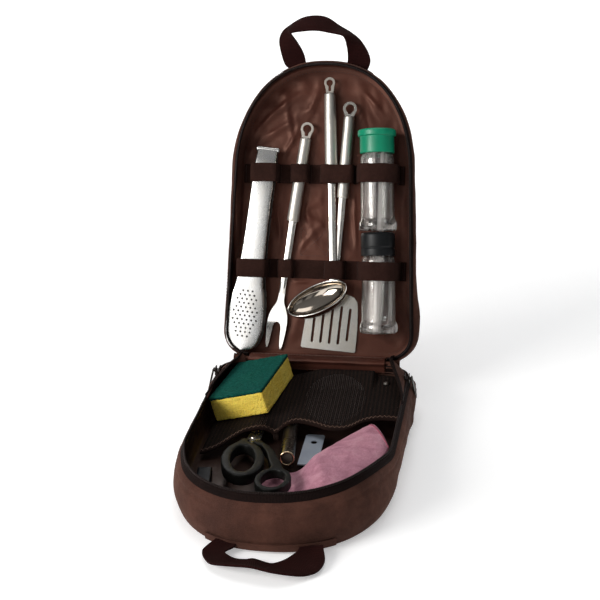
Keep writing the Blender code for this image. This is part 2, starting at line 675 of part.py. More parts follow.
# --- slotted turner
turner = empty("turner_frame", TURNER_TOP, (0, 0, TURNER_LEAN), lid)
hanging_ring("turner_hook", 0.0165, 0.0150, turner, m_satin, -0.0165)
tube_handle("turner_handle", -0.0169, -0.1040, 0.0058, 0.0061, turner, m_satin)
stem("turner_stem", [(-0.1043, 0, -0.0004, 0.0042, 0.0018), (-0.150, 0, -0.0022, 0.0036, 0.0014),
                     (-0.185, 0, -0.0036, 0.0031, 0.0011), (-0.2010, -0.0006, -0.0048, 0.0030, 0.0008)],
     turner, m_steel)
BLADE = [(0.0030, -0.2013), (0.0060, -0.2060), (0.0215, -0.2110), (0.0262, -0.2190),
         (0.0278, -0.2450), (0.0276, -0.2700), (0.0262, -0.2718), (-0.0312, -0.2705),
         (-0.0330, -0.2680), (-0.0308, -0.2450), (-0.0290, -0.2190), (-0.0240, -0.2110),
         (-0.0070, -0.2060), (-0.0042, -0.2013)]
slots = []
for k in range(5):
    u0 = -0.0205 + 0.0096 * k
    top = -0.2230 - (0.002 if k in (0, 4) else 0.0)
    low = -0.2625 + (0.0045 if k == 4 else 0.0)
    slots.append([(u0 + 0.0013 * a + (0.0006 * b), (top if b > 0 else low) + 0.0013 * c)
                  for a, b, c in ((-1, 1, -1), (-0.6, 1, 0), (0.6, 1, 0), (1, 1, -1),
                                  (1, -1, 1), (0.6, -1, 0), (-0.6, -1, 0), (-1, -1, 1))])
finish("turner_blade", plate(BLADE, slots, 0.0011,
                             lambda u, v, w: (u, v, -0.0056 + w)), m_steel, turner, smooth=35)

# --- ladle, its bowl lying over the turner
ladle = empty("ladle_frame", LADLE_TOP, (0, 0, LADLE_LEAN), lid)
hanging_ring("ladle_hook", 0.0180, 0.0118, ladle, m_satin, -0.0180)
tube_handle("ladle_handle", -0.0184, -0.1090, 0.0060, 0.0068, ladle, m_satin)
BOWL_C = Vector((-0.0015, 0.0665, -0.0056))
BOWL_A, BOWL_B, BOWL_DEPTH, BOWL_T = 0.0345, 0.0208, 0.0158, 0.0011
BOWL_TILT, BOWL_TURN = math.radians(45), math.radians(25)
ct, st = math.cos(BOWL_TILT), math.sin(BOWL_TILT)
spin = Matrix.Rotation(BOWL_TURN, 3, "Z")
e1 = spin @ Vector((1, 0, 0))
e2 = spin @ Vector((0, ct, -st))
e3 = spin @ Vector((0, st, ct))
unlean = Matrix.Rotation(-LADLE_LEAN, 3, "Z")


def ladle_local(p):
    """From the lid's frame to the ladle's own leaning frame."""
    return unlean @ (Vector(p) - Vector(LADLE_TOP))


bm = bmesh.new()
SIDES = 22
shells = []
for grow in (0.0, -BOWL_T):
    rings = []
    a, b, dep = BOWL_A + grow, BOWL_B + grow, BOWL_DEPTH + grow
    for k in range(6):
        f = math.pi / 2 * k / 6
        rings.append([bm.verts.new(ladle_local(
            BOWL_C + e1 * (a * math.cos(f) * math.cos(t)) + e2 * (b * math.cos(f) * math.sin(t))
            - e3 * (dep * math.sin(f)))) for t in [2 * math.pi * i / SIDES for i in range(SIDES)]])
    rings.append(bm.verts.new(ladle_local(BOWL_C - e3 * dep)))
    shells.append(rings)
for rings in shells:
    for k in range(5):
        for i in range(SIDES):
            j = (i + 1) % SIDES
            bm.faces.new((rings[k][i], rings[k][j], rings[k + 1][j], rings[k + 1][i]))
    for i in range(SIDES):
        bm.faces.new((rings[5][i], rings[5][(i + 1) % SIDES], rings[6]))
for i in range(SIDES):
    j = (i + 1) % SIDES
    bm.faces.new((shells[0][0][i], shells[0][0][j], shells[1][0][j], shells[1][0][i]))
finish("ladle_bowl", bm, m_steel, ladle)
phi = math.radians(49)
root = BOWL_C + e1 * (BOWL_A * 1.035 * math.cos(phi)) + e2 * (BOWL_B * 1.035 * math.sin(phi))
foot = ladle_local(root)
stem("ladle_stem", [(-0.1093, 0, 0.0002, 0.0042, 0.0020), (-0.150, 0, 0.0008, 0.0040, 0.0017),
                    (-0.190, 0, 0.0014, 0.0040, 0.0015),
                    (-0.2100, foot.x * 0.7, 0.0022, 0.0040, 0.0013),
                    (foot.y + 0.0012, foot.x, foot.z + 0.0006, 0.0042, 0.0009)],
     ladle, m_steel)

# --- shakers: glass jar and screw cap
JAR_PROFILE = [(0, 0.0), (0.0178, 0.0), (0.0200, 0.0018), (0.0205, 0.0060), (0.0200, 0.0100),
               (0.0182, 0.0130), (0.0181, 0.0770), (0.0170, 0.0815), (0.0148, 0.0828),
               (0.0148, 0.0990), (0.0130, 0.0990), (0.0130, 0.0815), (0.0160, 0.0760),
               (0.0162, 0.0160), (0.0140, 0.0075), (0, 0.0062)]
CAP_GREEN = [(0.0150, 0.0832), (0.0182, 0.0832), (0.0182, 0.1010), (0.0203, 0.1014),
             (0.0203, 0.1070), (0.0190, 0.1082), (0.0060, 0.1086), (0, 0.1086), ]
CAP_BLACK = [(0.0150, 0.0832), (0.0182, 0.0832), (0.0182, 0.1060), (0.0168, 0.1080),
             (0.0060, 0.1084), (0, 0.1084)]


def shaker(tag, s_bottom, cap_profile, cap_mat):
    frame = empty("shaker_%s_frame" % tag, (jar_axis_x(s_bottom), s_bottom, JAR_D),
                  (0, 0, JAR_LEAN), lid)
    spin_e = empty("shaker_%s_cap_pivot" % tag, (0, 0, 0), parent=frame)
    finish("shaker_%s_jar" % tag, turned(JAR_PROFILE, 20),
           material("jar_glass_" + tag, (0.85, 0.88, 0.88), 0.05, 0.0, 0.9), frame)
    under = [(0, 0.1048), (0.0150, 0.1048)]
    finish("shaker_%s_cap" % tag, turned(under + cap_profile, 20), cap_mat, spin_e)
    return frame


JAR_LOW_S, JAR_HIGH_S = 0.0310, 0.1402
shaker("black", JAR_LOW_S, CAP_BLACK, material("cap_black", (0.012, 0.012, 0.013), 0.35))
shaker("green", JAR_HIGH_S, CAP_GREEN, material("cap_green", (0.005, 0.26, 0.12), 0.35))


# -------------------------------------------------------- webbing handles
def webbing_band(path, widths, mat, name, parent):
    """Flat webbing along a path; widths gives each station's width vector."""
    rings = []
    n = len(path)
    for i in range(n):
        t = (path[min(i + 1, n - 1)] - path[max(i - 1, 0)]).normalized()
        w = widths[i] - t * widths[i].dot(t)
        w = w.normalized() * (WEBBING_W / 2)
        k = t.cross(w).normalized() * (WEBBING_T / 2)
        rings.append([path[i] - w - k, path[i] + w - k, path[i] + w + k, path[i] - w + k])
    return finish(name, loft(rings), mat, parent, smooth=50)


def arch_handle(points, normal, tilt_ends, tilt_mid, stations=19):
    """Path and width vectors of a sewn loop that lies nearly in one plane and
    leans out of it in the middle."""
    path = smooth_line(points, stations)
    widths = []
    for i in range(stations):
        t = (path[min(i + 1, stations - 1)] - path[max(i - 1, 0)]).normalized()
        side = normal.cross(t).normalized()
        f = math.sin(math.pi * i / (stations - 1)) ** 1.5
        a = math.radians(tilt_ends + (tilt_mid - tilt_ends) * f)
        widths.append(side * math.cos(a) + normal * math.sin(a))
    return path, widths


m_web = material("webbing", TAPE_BROWN, 0.8)
m_web_base = material("webbing_base", TAPE_BROWN, 0.8)

LID_HANDLE_S, LID_HANDLE_D = 0.3200, -0.0260
lid_grip = empty("lid_handle_pivot", (0, LID_HANDLE_S, LID_HANDLE_D), parent=lid)
pts = [(-0.0325, 0.0015, 0.0), (-0.0350, 0.0150, 0.0005), (-0.0330, 0.0290, 0.0012),
       (-0.0200, 0.0400, 0.0020), (0.0010, 0.0440, 0.0024), (0.0220, 0.0405, 0.0020),
       (0.0355, 0.0290, 0.0012), (0.0385, 0.0150, 0.0005), (0.0365, 0.0015, 0.0)]
path, widths = arch_handle(pts, Vector((0, 0, 1)), 4, 52)
webbing_band(path, widths, m_web, "lid_handle", lid_grip)

# the sewn strip that carries the lid handle, on the outside of the gusset
rows = []
for a in range(9):
    x = -0.048 + 0.098 * a / 8
    v = max(0.0, 1 - (abs(x) / (HALF_WIDTH_BACK - SIDE_TAPER * 0.31)) ** ARCH_POWER) ** (1 / ARCH_POWER)
    s = BAG_LENGTH - ARCH_LENGTH + ARCH_LENGTH * v
    nx, ns = x / 0.094 * 0.32, 1.0
    ln = math.hypot(nx, ns)
    nx, ns = nx / ln, ns / ln
    rows.append([Vector((x + nx * o, s + ns * o, d)) for o, d in
                 [(0.0014, -0.0285), (0.0030, -0.0285), (0.0030, -0.0165), (0.0014, -0.0165)]])
finish("lid_handle_anchor", loft(rows), material("anchor_webbing", TAPE_BROWN, 0.8), lid)
lid_grip.location.y = BAG_LENGTH + 0.0038
lid_grip.location.z = -0.0225

# base handle, flopped forward on the floor
BASE_HANDLE_S, BASE_HANDLE_Z = 0.3285, 0.0085
base_grip = empty("base_handle_pivot", (0, HINGE_Y - BASE_HANDLE_S, BASE_HANDLE_Z))
pts = [(-0.0345, -0.0012, 0.0040), (-0.0385, -0.0095, 0.0002), (-0.0350, -0.0200, -0.0012),
       (-0.0200, -0.0268, -0.0010), (0.0020, -0.0290, -0.0008), (0.0240, -0.0275, -0.0008),
       (0.0405, -0.0215, -0.0012), (0.0455, -0.0100, 0.0002), (0.0420, -0.0012, 0.0040)]
path, widths = arch_handle(pts, Vector((0, 0, 1)), 12, 32)
webbing_band(path, widths, m_web_base, "base_handle", base_grip)

rows = []
for a in range(11):
    x = -0.052 + 0.108 * a / 10
    v = max(0.0, 1 - (abs(x) / (HALF_WIDTH_BACK - SIDE_TAPER * 0.31)) ** ARCH_POWER) ** (1 / ARCH_POWER)
    s = BAG_LENGTH - ARCH_LENGTH + ARCH_LENGTH * v
    nx, ns = x / 0.094 * 0.36, 1.0
    ln = math.hypot(nx, ns)
    nx, ns = nx / ln, ns / ln
    rows.append([base_point(x + nx * o, s + ns * o, z) for o, z in
                 [(0.0016, 0.0030), (0.0028, 0.0030), (0.0046, 0.0140), (0.0034, 0.0140)]])
finish("base_handle_anchor", loft(rows), material("base_anchor", TAPE_BROWN, 0.8))


# ------------------------------------------------------- zip sliders
def side_line(sign, s, off):
    """x of the zip's straight side at s, moved in by off."""
    return sign * (HALF_WIDTH_BACK - SIDE_TAPER * s - off / math.cos(math.atan(SIDE_TAPER)))


m_zip = material("zip_metal", (0.06, 0.05, 0.045), 0.35, 1.0)
SLIDER_S, SLIDER_LEN = 0.0400, 0.0090
for side, sign in (("left", -1), ("right", 1)):
    turn = sign * math.atan(SIDE_TAPER)
    frame = empty("zip_slider_%s_frame" % side,
                  (side_line(sign, SLIDER_S, ZIP_OFFSET), HINGE_Y - SLIDER_S, RIM_Z),
                  (0, 0, -turn))
    # two plates joined by the thin post that parts the coils, and a lug outside
    o = sign
    rings = []
    for y, lug in ((-0.0045, 0), (-0.0016, 0), (-0.0016, 1), (0.0016, 1), (0.0016, 0), (0.0045, 0)):
        reach, half = (0.0058, 0.0011) if lug else (0.0028, 0.0012)
        sec = [(0.0016, 0.0042), (0.0028, 0.0038), (0.0028, 0.0012), (reach, half),
               (reach, -half), (0.0028, -0.0012), (0.0028, -0.0038), (0.0016, -0.0042),
               (0.0016, -0.0005), (-0.0016, -0.0005), (-0.0016, -0.0042), (-0.0028, -0.0038),
               (-0.0028, 0.0038), (-0.0016, 0.0042), (-0.0016, 0.0005), (0.0016, 0.0005)]
        rings.append([Vector((o * a, y, z)) for a, z in sec])
    finish("zip_slider_%s" % side, loft(rings), m_zip, frame, smooth=30)
    # pull tab: two ears beside the lug, leaning out over the wall
    pull = empty("zip_pull_%s_pivot" % side, (o * 0.0050, 0, 0.0), (0, o * math.radians(-14), 0), frame)
    tab = [(-0.0034, -0.0210), (0.0034, -0.0210), (0.0042, -0.0190), (0.0042, 0.0014),
           (0.0023, 0.0014), (0.0023, -0.0030), (-0.0023, -0.0030), (-0.0023, 0.0014),
           (-0.0042, 0.0014), (-0.0042, -0.0190)]
    bm = plate(tab, [ellipse(0, -0.0160, 0.0017, 0.0022, 8)], 0.0012,
               lambda u, v, w: (o * (w - 0.0006), u, v))
    finish("zip_pull_%s" % side, bm, m_zip, pull, smooth=30)

# --------------------------------------------------------- kit in the base
rot = Matrix((SP_X, SP_Y, SP_UP)).transposed().to_4x4()
sponge = empty("sponge_frame", (0, 0, 0))
sponge.matrix_world = Matrix.Translation(SP_C) @ rot


def block(w, l, z0, z1, chamfer):
    c = chamfer
    loop = [(w / 2 - c, -l / 2), (w / 2, -l / 2 + c), (w / 2, l / 2 - c), (w / 2 - c, l / 2),
            (-w / 2 + c, l / 2), (-w / 2, l / 2 - c), (-w / 2, -l / 2 + c), (-w / 2 + c, -l / 2)]
    return loft([[Vector((x, y, z)) for x, y in loop] for z in (z0, z1)])


finish("sponge_foam", block(SP_W, SP_L, -SP_SCOUR - GAP - SP_FOAM, -SP_SCOUR - GAP, 0.0025),
       material("foam_yellow", (0.58, 0.42, 0.10), 0.95), sponge)
finish("sponge_scourer", block(SP_W, SP_L, -SP_SCOUR, 0.0, 0.0025),
       material("scour_green", (0.01, 0.09, 0.065), 0.95), sponge)

# scissors: two steel blades on a rivet, each in a moulded grip
SC_PIVOT = base_point(-0.0430, 0.1400, 0.0140)
SC_TILT = math.radians(-4.0)
scissors = empty("scissors_frame", SC_PIVOT, (SC_TILT, 0, 0))
half_a = empty("scissor_half_a_pivot", (0, 0, 0), parent=scissors)
m_blade = material("blade_steel", (0.6, 0.6, 0.6), 0.2, 1.0)
m_grip = material("grip_black", (0.012, 0.012, 0.013), 0.45)


def blade(name, side, w0, parent):
    pts = [(side * 0.0066, -0.0125), (side * 0.0074, 0.0), (side * 0.0062, 0.0300),
           (side * 0.0014, 0.0760), (side * 0.0002, 0.0775), (side * -0.0012, 0.0300),
           (side * -0.0050, 0.0060), (side * -0.0058, -0.0040), (side * 0.0006, -0.0125)]
    if side < 0:
        pts = pts[::-1]
    hole = ellipse(0, 0, 0.0024, 0.0024, 10)
    return finish(name, plate(pts, [hole], 0.0015, lambda u, v, w: (u, v, w0 + w)),
                  m_blade, parent, smooth=35)


blade("scissor_blade_a", -1, -0.0017, half_a)
blade("scissor_blade_b", 1, 0.0002, scissors)
riv = finish("scissor_rivet", turned([(0, -0.0030), (0.0038, -0.0030), (0.0038, -0.0020),
                                      (0.0021, -0.0020), (0.0021, 0.0020), (0.0038, 0.0020),
                                      (0.0034, 0.0030), (0, 0.0032)], 12), m_satin, scissors)
riv.rotation_euler = (math.radians(90), 0, 0)


def grip(name, centre, rx, ry, wall, turn, foot, parent, z0, z1, bump):
    """A moulded finger ring with a shank that runs up to the blade's tang."""
    cx, cy = centre
    outer = []
    n = 26
    for i in range(n):
        t = math.pi / 2 + 2 * math.pi * i / n
        outer.append((t, ellipse(cx, cy, rx, ry, 1, turn, t)[0]))
    keep = [p for t, p in outer if abs((t - math.pi / 2 + math.pi) % (2 * math.pi) - math.pi) > bump]
    loop = keep + list(foot)
    hole = ellipse(cx, cy, rx - wall, ry - wall, 18, turn)
    low = plate(loop, [hole], z1 - z0, lambda u, v, w: (u, v, z0 + w))
    return finish(name, low, m_grip, parent, smooth=40)


# the shank's end points run right to left, closing the ring's outline
grip("scissor_grip_a", (0.0012, -0.0610), 0.0200, 0.0410, 0.0088, 0.17,
     [(-0.0012, -0.0200), (-0.0012, -0.0132), (-0.0088, -0.0132), (-0.0104, -0.0200)],
     half_a, -0.0048, 0.0062, 0.30)
grip("scissor_grip_b", (0.0360, -0.1010), 0.0160, 0.0245, 0.0055, 0.0,
     [(0.0400, -0.0745), (0.0365, -0.0620), (0.0305, -0.0480), (0.0280, -0.0400), (0.0190, -0.0240),
      (0.0090, -0.0132), (0.0012, -0.0132), (0.0040, -0.0195), (0.0120, -0.0250),
      (0.0195, -0.0400), (0.0250, -0.0590), (0.0300, -0.0745)],
     scissors, -0.0040, 0.0050, 0.45)

# folded cloth across the front right of the tub, its tail under the small ring:
# its edge towards the hinge and its edge towards the front wall
CLOTH_BACK = [(-0.0225, 0.2330), (-0.0100, 0.2290), (0.0020, 0.2210), (0.0120, 0.2030), (0.0230, 0.1830),
              (0.0337, 0.1620), (0.0440, 0.1440), (0.0540, 0.1280), (0.0630, 0.1140), (0.0700, 0.1110),
              (0.0770, 0.1160)]
CLOTH_FRONT = [(-0.0190, 0.2540), (-0.0030, 0.2610), (0.0140, 0.2680), (0.0330, 0.2620), (0.0500, 0.2470),
               (0.0640, 0.2300), (0.0770, 0.2100), (0.0860, 0.1920), (0.0905, 0.1700), (0.0905, 0.1510),
               (0.0880, 0.1360)]
LAST = len(CLOTH_BACK) * 2 - 2
back_line = smooth_line([(x, s, 0) for x, s in CLOTH_BACK], LAST + 1)
front_line = smooth_line([(x, s, 0) for x, s in CLOTH_FRONT], LAST + 1)
rings = []
for i in range(LAST + 1):
    f = i / LAST
    mid, reach = 0.5 * (back_line[i] + front_line[i]), 0.5 * (front_line[i] - back_line[i])
    low, high = BASE_FLOOR + 0.0006, 0.0138 + 0.0147 * min(1.0, max(0.0, (f - 0.22) / 0.14)) ** 0.8
    if i in (0, LAST):
        high -= 0.003
    ring = []
    for k in range(12):
        a = 2 * math.pi * k / 12
        c, s_ = math.cos(a), math.sin(a)
        u = math.copysign(abs(c) ** 0.62, c)
        w = 0.5 * (low + high) + 0.5 * (high - low) * math.copysign(abs(s_) ** 0.62, s_)
        p = mid + reach * u
        ring.append(base_point(p.x, p.y, w))
    rings.append(ring)
finish("towel", loft(rings), material("towel_pink", (0.52, 0.22, 0.32), 0.95))

# small knife with a tube handle, flat steel tool, paddle and case
knife = empty("knife_frame", base_point(-0.0033, 0.1850, 0.0176), (math.radians(-3.6), 0, math.radians(6)))
bm = turned([(0.0058, 0.0), (0.0070, 0.0008), (0.0070, 0.0740), (0.0055, 0.0760), (0, 0.0760),
             (0, 0.0640), (0.0058, 0.0620), (0.0058, 0.0)], 16)
finish("knife_handle", bm, m_satin, knife)
finish("knife_blade", plate([(-0.0045, 0.0764), (0.0050, 0.0764), (0.0068, 0.0820), (0.0066, 0.0980),
                             (0.0020, 0.1160), (-0.0030, 0.1200), (-0.0050, 0.1090), (-0.0052, 0.0820)],
                            [], 0.0012, lambda u, v, w: (u, v, -0.0006 + w)), m_blade, knife)

bm = plate([(0.0055, -0.1800), (0.0130, -0.1795), (0.0215, -0.1680), (0.0240, -0.1630),
            (0.0240, -0.1200), (0.0225, -0.1180), (0.0075, -0.1180), (0.0055, -0.1200)],
           [ellipse(0.0152, -0.1340, 0.0032, 0.0036, 12)], 0.0012,
           lambda u, v, w: (u, HINGE_Y + v, 0.0080 + w + 0.03 * (v + 0.203)))
finish("steel_plate", bm, m_blade)

PAD = [(0.0265 + 0.031 * math.cos(t), -0.0480 + 0.034 * math.sin(t))
       for t in [math.pi * i / 12 for i in range(13)]]
PAD += [(-0.0010, -0.0700), (0.0120, -0.0860), (0.0170, -0.1080), (0.0250, -0.1120),
        (0.0330, -0.1080), (0.0380, -0.0860), (0.0530, -0.0700)]
bm = plate(PAD, [], 0.0026, lambda u, v, w: (
    u, HINGE_Y + v, paddle_height(-v) + w))
finish("rice_paddle", bm, material("paddle_plastic", (0.42, 0.42, 0.43), 0.45))

case = empty("blue_case_frame", base_point(-0.0750, 0.2170, BASE_FLOOR + 0.0004), (0, 0, math.radians(9)))
rings = []
for z, g in ((0.0, 0.0012), (0.0012, 0.0), (0.0058, 0.0), (0.0068, 0.0012)):
    w, l, c = 0.0070 - g, 0.0180 - g, 0.0030
    rings.append([Vector((x, y, z)) for x, y in
                  [(w - c, -l), (w, -l + c), (w, l - c), (w - c, l),
                   (-w + c, l), (-w, l - c), (-w, -l + c), (-w + c, -l)]])
finish("blue_case", loft(rings), material("case_blue", (0.012, 0.02, 0.06), 0.3), case)
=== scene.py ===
import math

import bmesh
import bpy
import numpy as np
from mathutils import Matrix, Vector
from mathutils import noise as mnoise
from mathutils.geometry import tessellate_polygon


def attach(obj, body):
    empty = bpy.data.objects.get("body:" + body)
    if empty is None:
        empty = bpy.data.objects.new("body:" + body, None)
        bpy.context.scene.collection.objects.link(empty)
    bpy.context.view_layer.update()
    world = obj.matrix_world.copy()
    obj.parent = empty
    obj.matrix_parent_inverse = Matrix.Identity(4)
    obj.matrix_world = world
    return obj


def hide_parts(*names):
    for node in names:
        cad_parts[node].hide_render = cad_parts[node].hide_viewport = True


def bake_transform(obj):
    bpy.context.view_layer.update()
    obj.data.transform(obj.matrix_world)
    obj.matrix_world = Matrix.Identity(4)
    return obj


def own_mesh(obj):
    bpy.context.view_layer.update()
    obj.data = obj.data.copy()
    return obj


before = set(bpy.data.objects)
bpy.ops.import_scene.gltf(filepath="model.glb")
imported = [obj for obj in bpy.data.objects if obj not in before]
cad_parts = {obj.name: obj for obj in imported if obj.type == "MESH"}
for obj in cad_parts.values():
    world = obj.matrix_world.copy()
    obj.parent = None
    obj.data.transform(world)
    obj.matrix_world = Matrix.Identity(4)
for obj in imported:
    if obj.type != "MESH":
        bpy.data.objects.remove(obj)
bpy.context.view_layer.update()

rad = math.radians

# ------------------------------------------------------------------ the bag
HINGE_Y, RIM_Z = 0.161, 0.044
LENGTH, HALF_BACK, TAPER = 0.322, 0.1055, 0.035
CORNER, ARCH, POWER = 0.030, 0.120, 2.3
BASE_FLOOR, LID_FLOOR = 0.0050, -0.0269
LID = Matrix.Translation((0, HINGE_Y, RIM_Z)) @ Matrix.Rotation(rad(74), 4, "X")
LID_R = np.array(LID.to_3x3())
LID_T = np.array(LID.translation)


def lid_world(p):
    return np.asarray(p, float) @ LID_R.T + LID_T


def base_world(p):
    """(x, s, z) with s measured from the hinge towards the front."""
    p = np.asarray(p, float)
    return np.stack([p[..., 0], HINGE_Y - p[..., 1], p[..., 2]], -1)


def tub_world(p):
    """base_world for the tub's wall: the soft front stands a little higher than
    the plane the zip lies in, and the rim there leans inwards."""
    p = np.asarray(p, float)
    x, s, z = p[..., 0], p[..., 1], p[..., 2]
    side = np.clip(x / 0.09, -1, 1)
    top = step(0.008, RIM_Z - 0.006, z)
    rise = (0.0090 + 0.0028 * side) * step(0.192, 0.278, s)
    lean = 0.0038 * step(0.198, 0.248, s)
    k = np.clip(np.abs(x) / 0.05, 0, 1)
    q = np.stack([x - np.sign(x) * k * lean * top, s - 0.0020 * step(0.26, 0.32, s) * top, z + rise * top], -1)
    return base_world(q)


def half_width(s):
    h = HALF_BACK - TAPER * s
    if s < CORNER:
        h -= CORNER * (1 - math.sqrt(max(0.0, 1 - ((CORNER - s) / CORNER) ** 2)))
    v = (s - (LENGTH - ARCH)) / ARCH
    if v > 0:
        h *= max(0.0, 1 - min(v, 1.0) ** POWER) ** (1 / POWER)
    return h


def outline(corner=9, side=26, arch=46, back=26):
    ss = [CORNER * (1 - math.cos(math.pi / 2 * i / corner)) for i in range(corner)]
    s0, s1 = CORNER, LENGTH - ARCH
    ss += [s0 + (s1 - s0) * i / side for i in range(side)]
    ss += [s1 + ARCH * math.sin(math.pi / 2 * i / arch) ** (2 / POWER) for i in range(arch)]
    right = [(half_width(s), s) for s in ss]
    pts = right + [(0.0, LENGTH)] + [(-x, s) for x, s in reversed(right)]
    count = len(pts)
    x0 = right[0][0]
    pts += [(-x0 + 2 * x0 * i / (back + 1), 0.0) for i in range(1, back + 1)]
    return np.array(pts), count


OUT, ZIP_N = outline()
_a = OUT - np.roll(OUT, 1, 0)
_b = np.roll(OUT, -1, 0) - OUT
_a /= np.linalg.norm(_a, axis=1)[:, None]
_b /= np.linalg.norm(_b, axis=1)[:, None]
_na = np.stack([-_a[:, 1], _a[:, 0]], 1)
_nb = np.stack([-_b[:, 1], _b[:, 0]], 1)
_m = _na + _nb
_m /= np.linalg.norm(_m, axis=1)[:, None]
INWARD = _m / np.maximum((_m * _na).sum(1), 0.3)[:, None]
RUN = np.concatenate([[0], np.cumsum(np.linalg.norm(np.roll(OUT, -1, 0) - OUT, axis=1))])


def spline(points, count, closed=False):
    """Evenly spaced points on a smooth curve through the given ones."""
    p = np.asarray(points, float)
    n = len(p)
    if closed:
        ext = np.vstack([p[-1], p, p[0], p[1]])
        spans = n
    else:
        ext = np.vstack([2 * p[0] - p[1], p, 2 * p[-1] - p[-2]])
        spans = n - 1
    t = np.linspace(0, 1, 16, endpoint=False)[:, None]
    raw = []
    for k in range(spans):
        p0, p1, p2, p3 = ext[k], ext[k + 1], ext[k + 2], ext[k + 3]
        raw.append(0.5 * (2 * p1 + (p2 - p0) * t + (2 * p0 - 5 * p1 + 4 * p2 - p3) * t ** 2
                          + (3 * p1 - p0 - 3 * p2 + p3) * t ** 3))
    raw = np.vstack(raw + [p[0] if closed else p[-1]])
    run = np.concatenate([[0], np.cumsum(np.linalg.norm(np.diff(raw, axis=0), axis=1))])
    want = np.linspace(0, run[-1], count, endpoint=not closed)
    return np.stack([np.interp(want, run, raw[:, k]) for k in range(p.shape[1])], 1)


def table(pairs, v):
    """Smooth lookup in (key, value...) rows, keys in any one order."""
    q = np.asarray(pairs, float)
    if q[0, 0] > q[-1, 0]:
        q = q[::-1]
    v = np.asarray(v, float)
    k = np.clip(np.searchsorted(q[:, 0], v) - 1, 0, len(q) - 2)
    x0, x1 = q[k, 0], q[k + 1, 0]
    y0, y1 = q[k, 1], q[k + 1, 1]
    slope = np.gradient(q[:, 1], q[:, 0])
    d = np.diff(q[:, 1]) / np.diff(q[:, 0])
    for i in range(1, len(q) - 1):
        if d[i - 1] * d[i] <= 0:
            slope[i] = 0
    h = x1 - x0
    t = np.clip((v - x0) / h, 0, 1)
    return (y0 * (2 * t ** 3 - 3 * t ** 2 + 1) + slope[k] * h * (t ** 3 - 2 * t ** 2 + t)
            + y1 * (-2 * t ** 3 + 3 * t ** 2) + slope[k + 1] * h * (t ** 3 - t ** 2))


def step(a, b, x):
    t = np.clip((np.asarray(x, float) - a) / (b - a), 0, 1)
    return t * t * (3 - 2 * t)


def fbm(points, scale, seed=0.0, octaves=3):
    """Seeded value noise, about -1 to 1, at each point."""
    p = np.asarray(points, float).reshape(-1, 3) * scale + seed
    out = np.zeros(len(p))
    amp, f = 1.0, 1.0
    for _ in range(octaves):
        out += amp * np.array([mnoise.noise(Vector(q * f)) for q in p])
        amp *= 0.5
        f *= 2.03
    return out.reshape(np.asarray(points).shape[:-1])


# ------------------------------------------------------------ mesh building
def build(name, verts, faces, material, uv=None, merge=True, crease=None):
    me = bpy.data.meshes.new(name)
    me.from_pydata([tuple(map(float, v)) for v in verts], [], faces)
    if uv is not None:
        layer = me.uv_layers.new(name="UVMap")
        idx = np.empty(len(me.loops), np.int32)
        me.loops.foreach_get("vertex_index", idx)
        layer.data.foreach_set("uv", np.asarray(uv, np.float32)[idx].ravel())
    bm = bmesh.new()
    bm.from_mesh(me)
    if merge:
        bmesh.ops.remove_doubles(bm, verts=bm.verts, dist=2e-6)
    bmesh.ops.recalc_face_normals(bm, faces=bm.faces)
    bm.to_mesh(me)
    bm.free()
    me.shade_smooth()
    if crease is not None:
        me.set_sharp_from_angle(angle=rad(crease))
    me.materials.append(material)
    ob = bpy.data.objects.new(name, me)
    bpy.context.collection.objects.link(ob)
    return ob


def quads(m, n, start=0, flip=False):
    out = []
    for j in range(m - 1):
        for i in range(n - 1):
            a = start + j * n + i
            f = (a, a + 1, a + n + 1, a + n)
            out.append(f[::-1] if flip else f)
    return out


def grid_normals(P, wrap):
    if wrap:
        du = np.roll(P, -1, 1) - np.roll(P, 1, 1)
        du[:, 0] = P[:, 1] - P[:, -2]
        du[:, -1] = du[:, 0]
    else:
        du = np.gradient(P, axis=1)
    dv = np.gradient(P, axis=0)
    n = np.cross(du, dv)
    return n / np.maximum(np.linalg.norm(n, axis=2), 1e-12)[:, :, None]


def skin(name, P, thick, material, wrap=False, uv=None, side=1, crease=60):
    """A sheet with thickness from a grid of points, closed at its edges.  The
    second face lies thick away on the given side of the grid.  A wrapped grid
    repeats its first column."""
    P = np.asarray(P, float)
    m, n = P.shape[:2]
    Q = P + grid_normals(P, wrap) * thick * side
    verts = np.vstack([P.reshape(-1, 3), Q.reshape(-1, 3)])
    faces = quads(m, n) + quads(m, n, m * n, True)
    o = m * n
    for i in range(n - 1):
        faces.append((i, o + i, o + i + 1, i + 1))
        a = (m - 1) * n + i
        faces.append((a, a + 1, o + a + 1, o + a))
    if not wrap:
        for j in range(m - 1):
            a, b = j * n, (j + 1) * n
            faces.append((a, b, o + b, o + a))
            faces.append((a + n - 1, o + a + n - 1, o + b + n - 1, b + n - 1))
    if uv is None:
        u = np.concatenate([[0], np.cumsum(np.linalg.norm(np.diff(P[m // 2], axis=0), axis=1))])
        v = np.concatenate([[0], np.cumsum(np.linalg.norm(np.diff(P[:, n // 2], axis=0), axis=1))])
        uv = np.stack(np.meshgrid(u, v), -1)
    uv = np.asarray(uv).reshape(-1, 2)
    return build(name, verts, faces, material, np.vstack([uv, uv]), crease=crease)


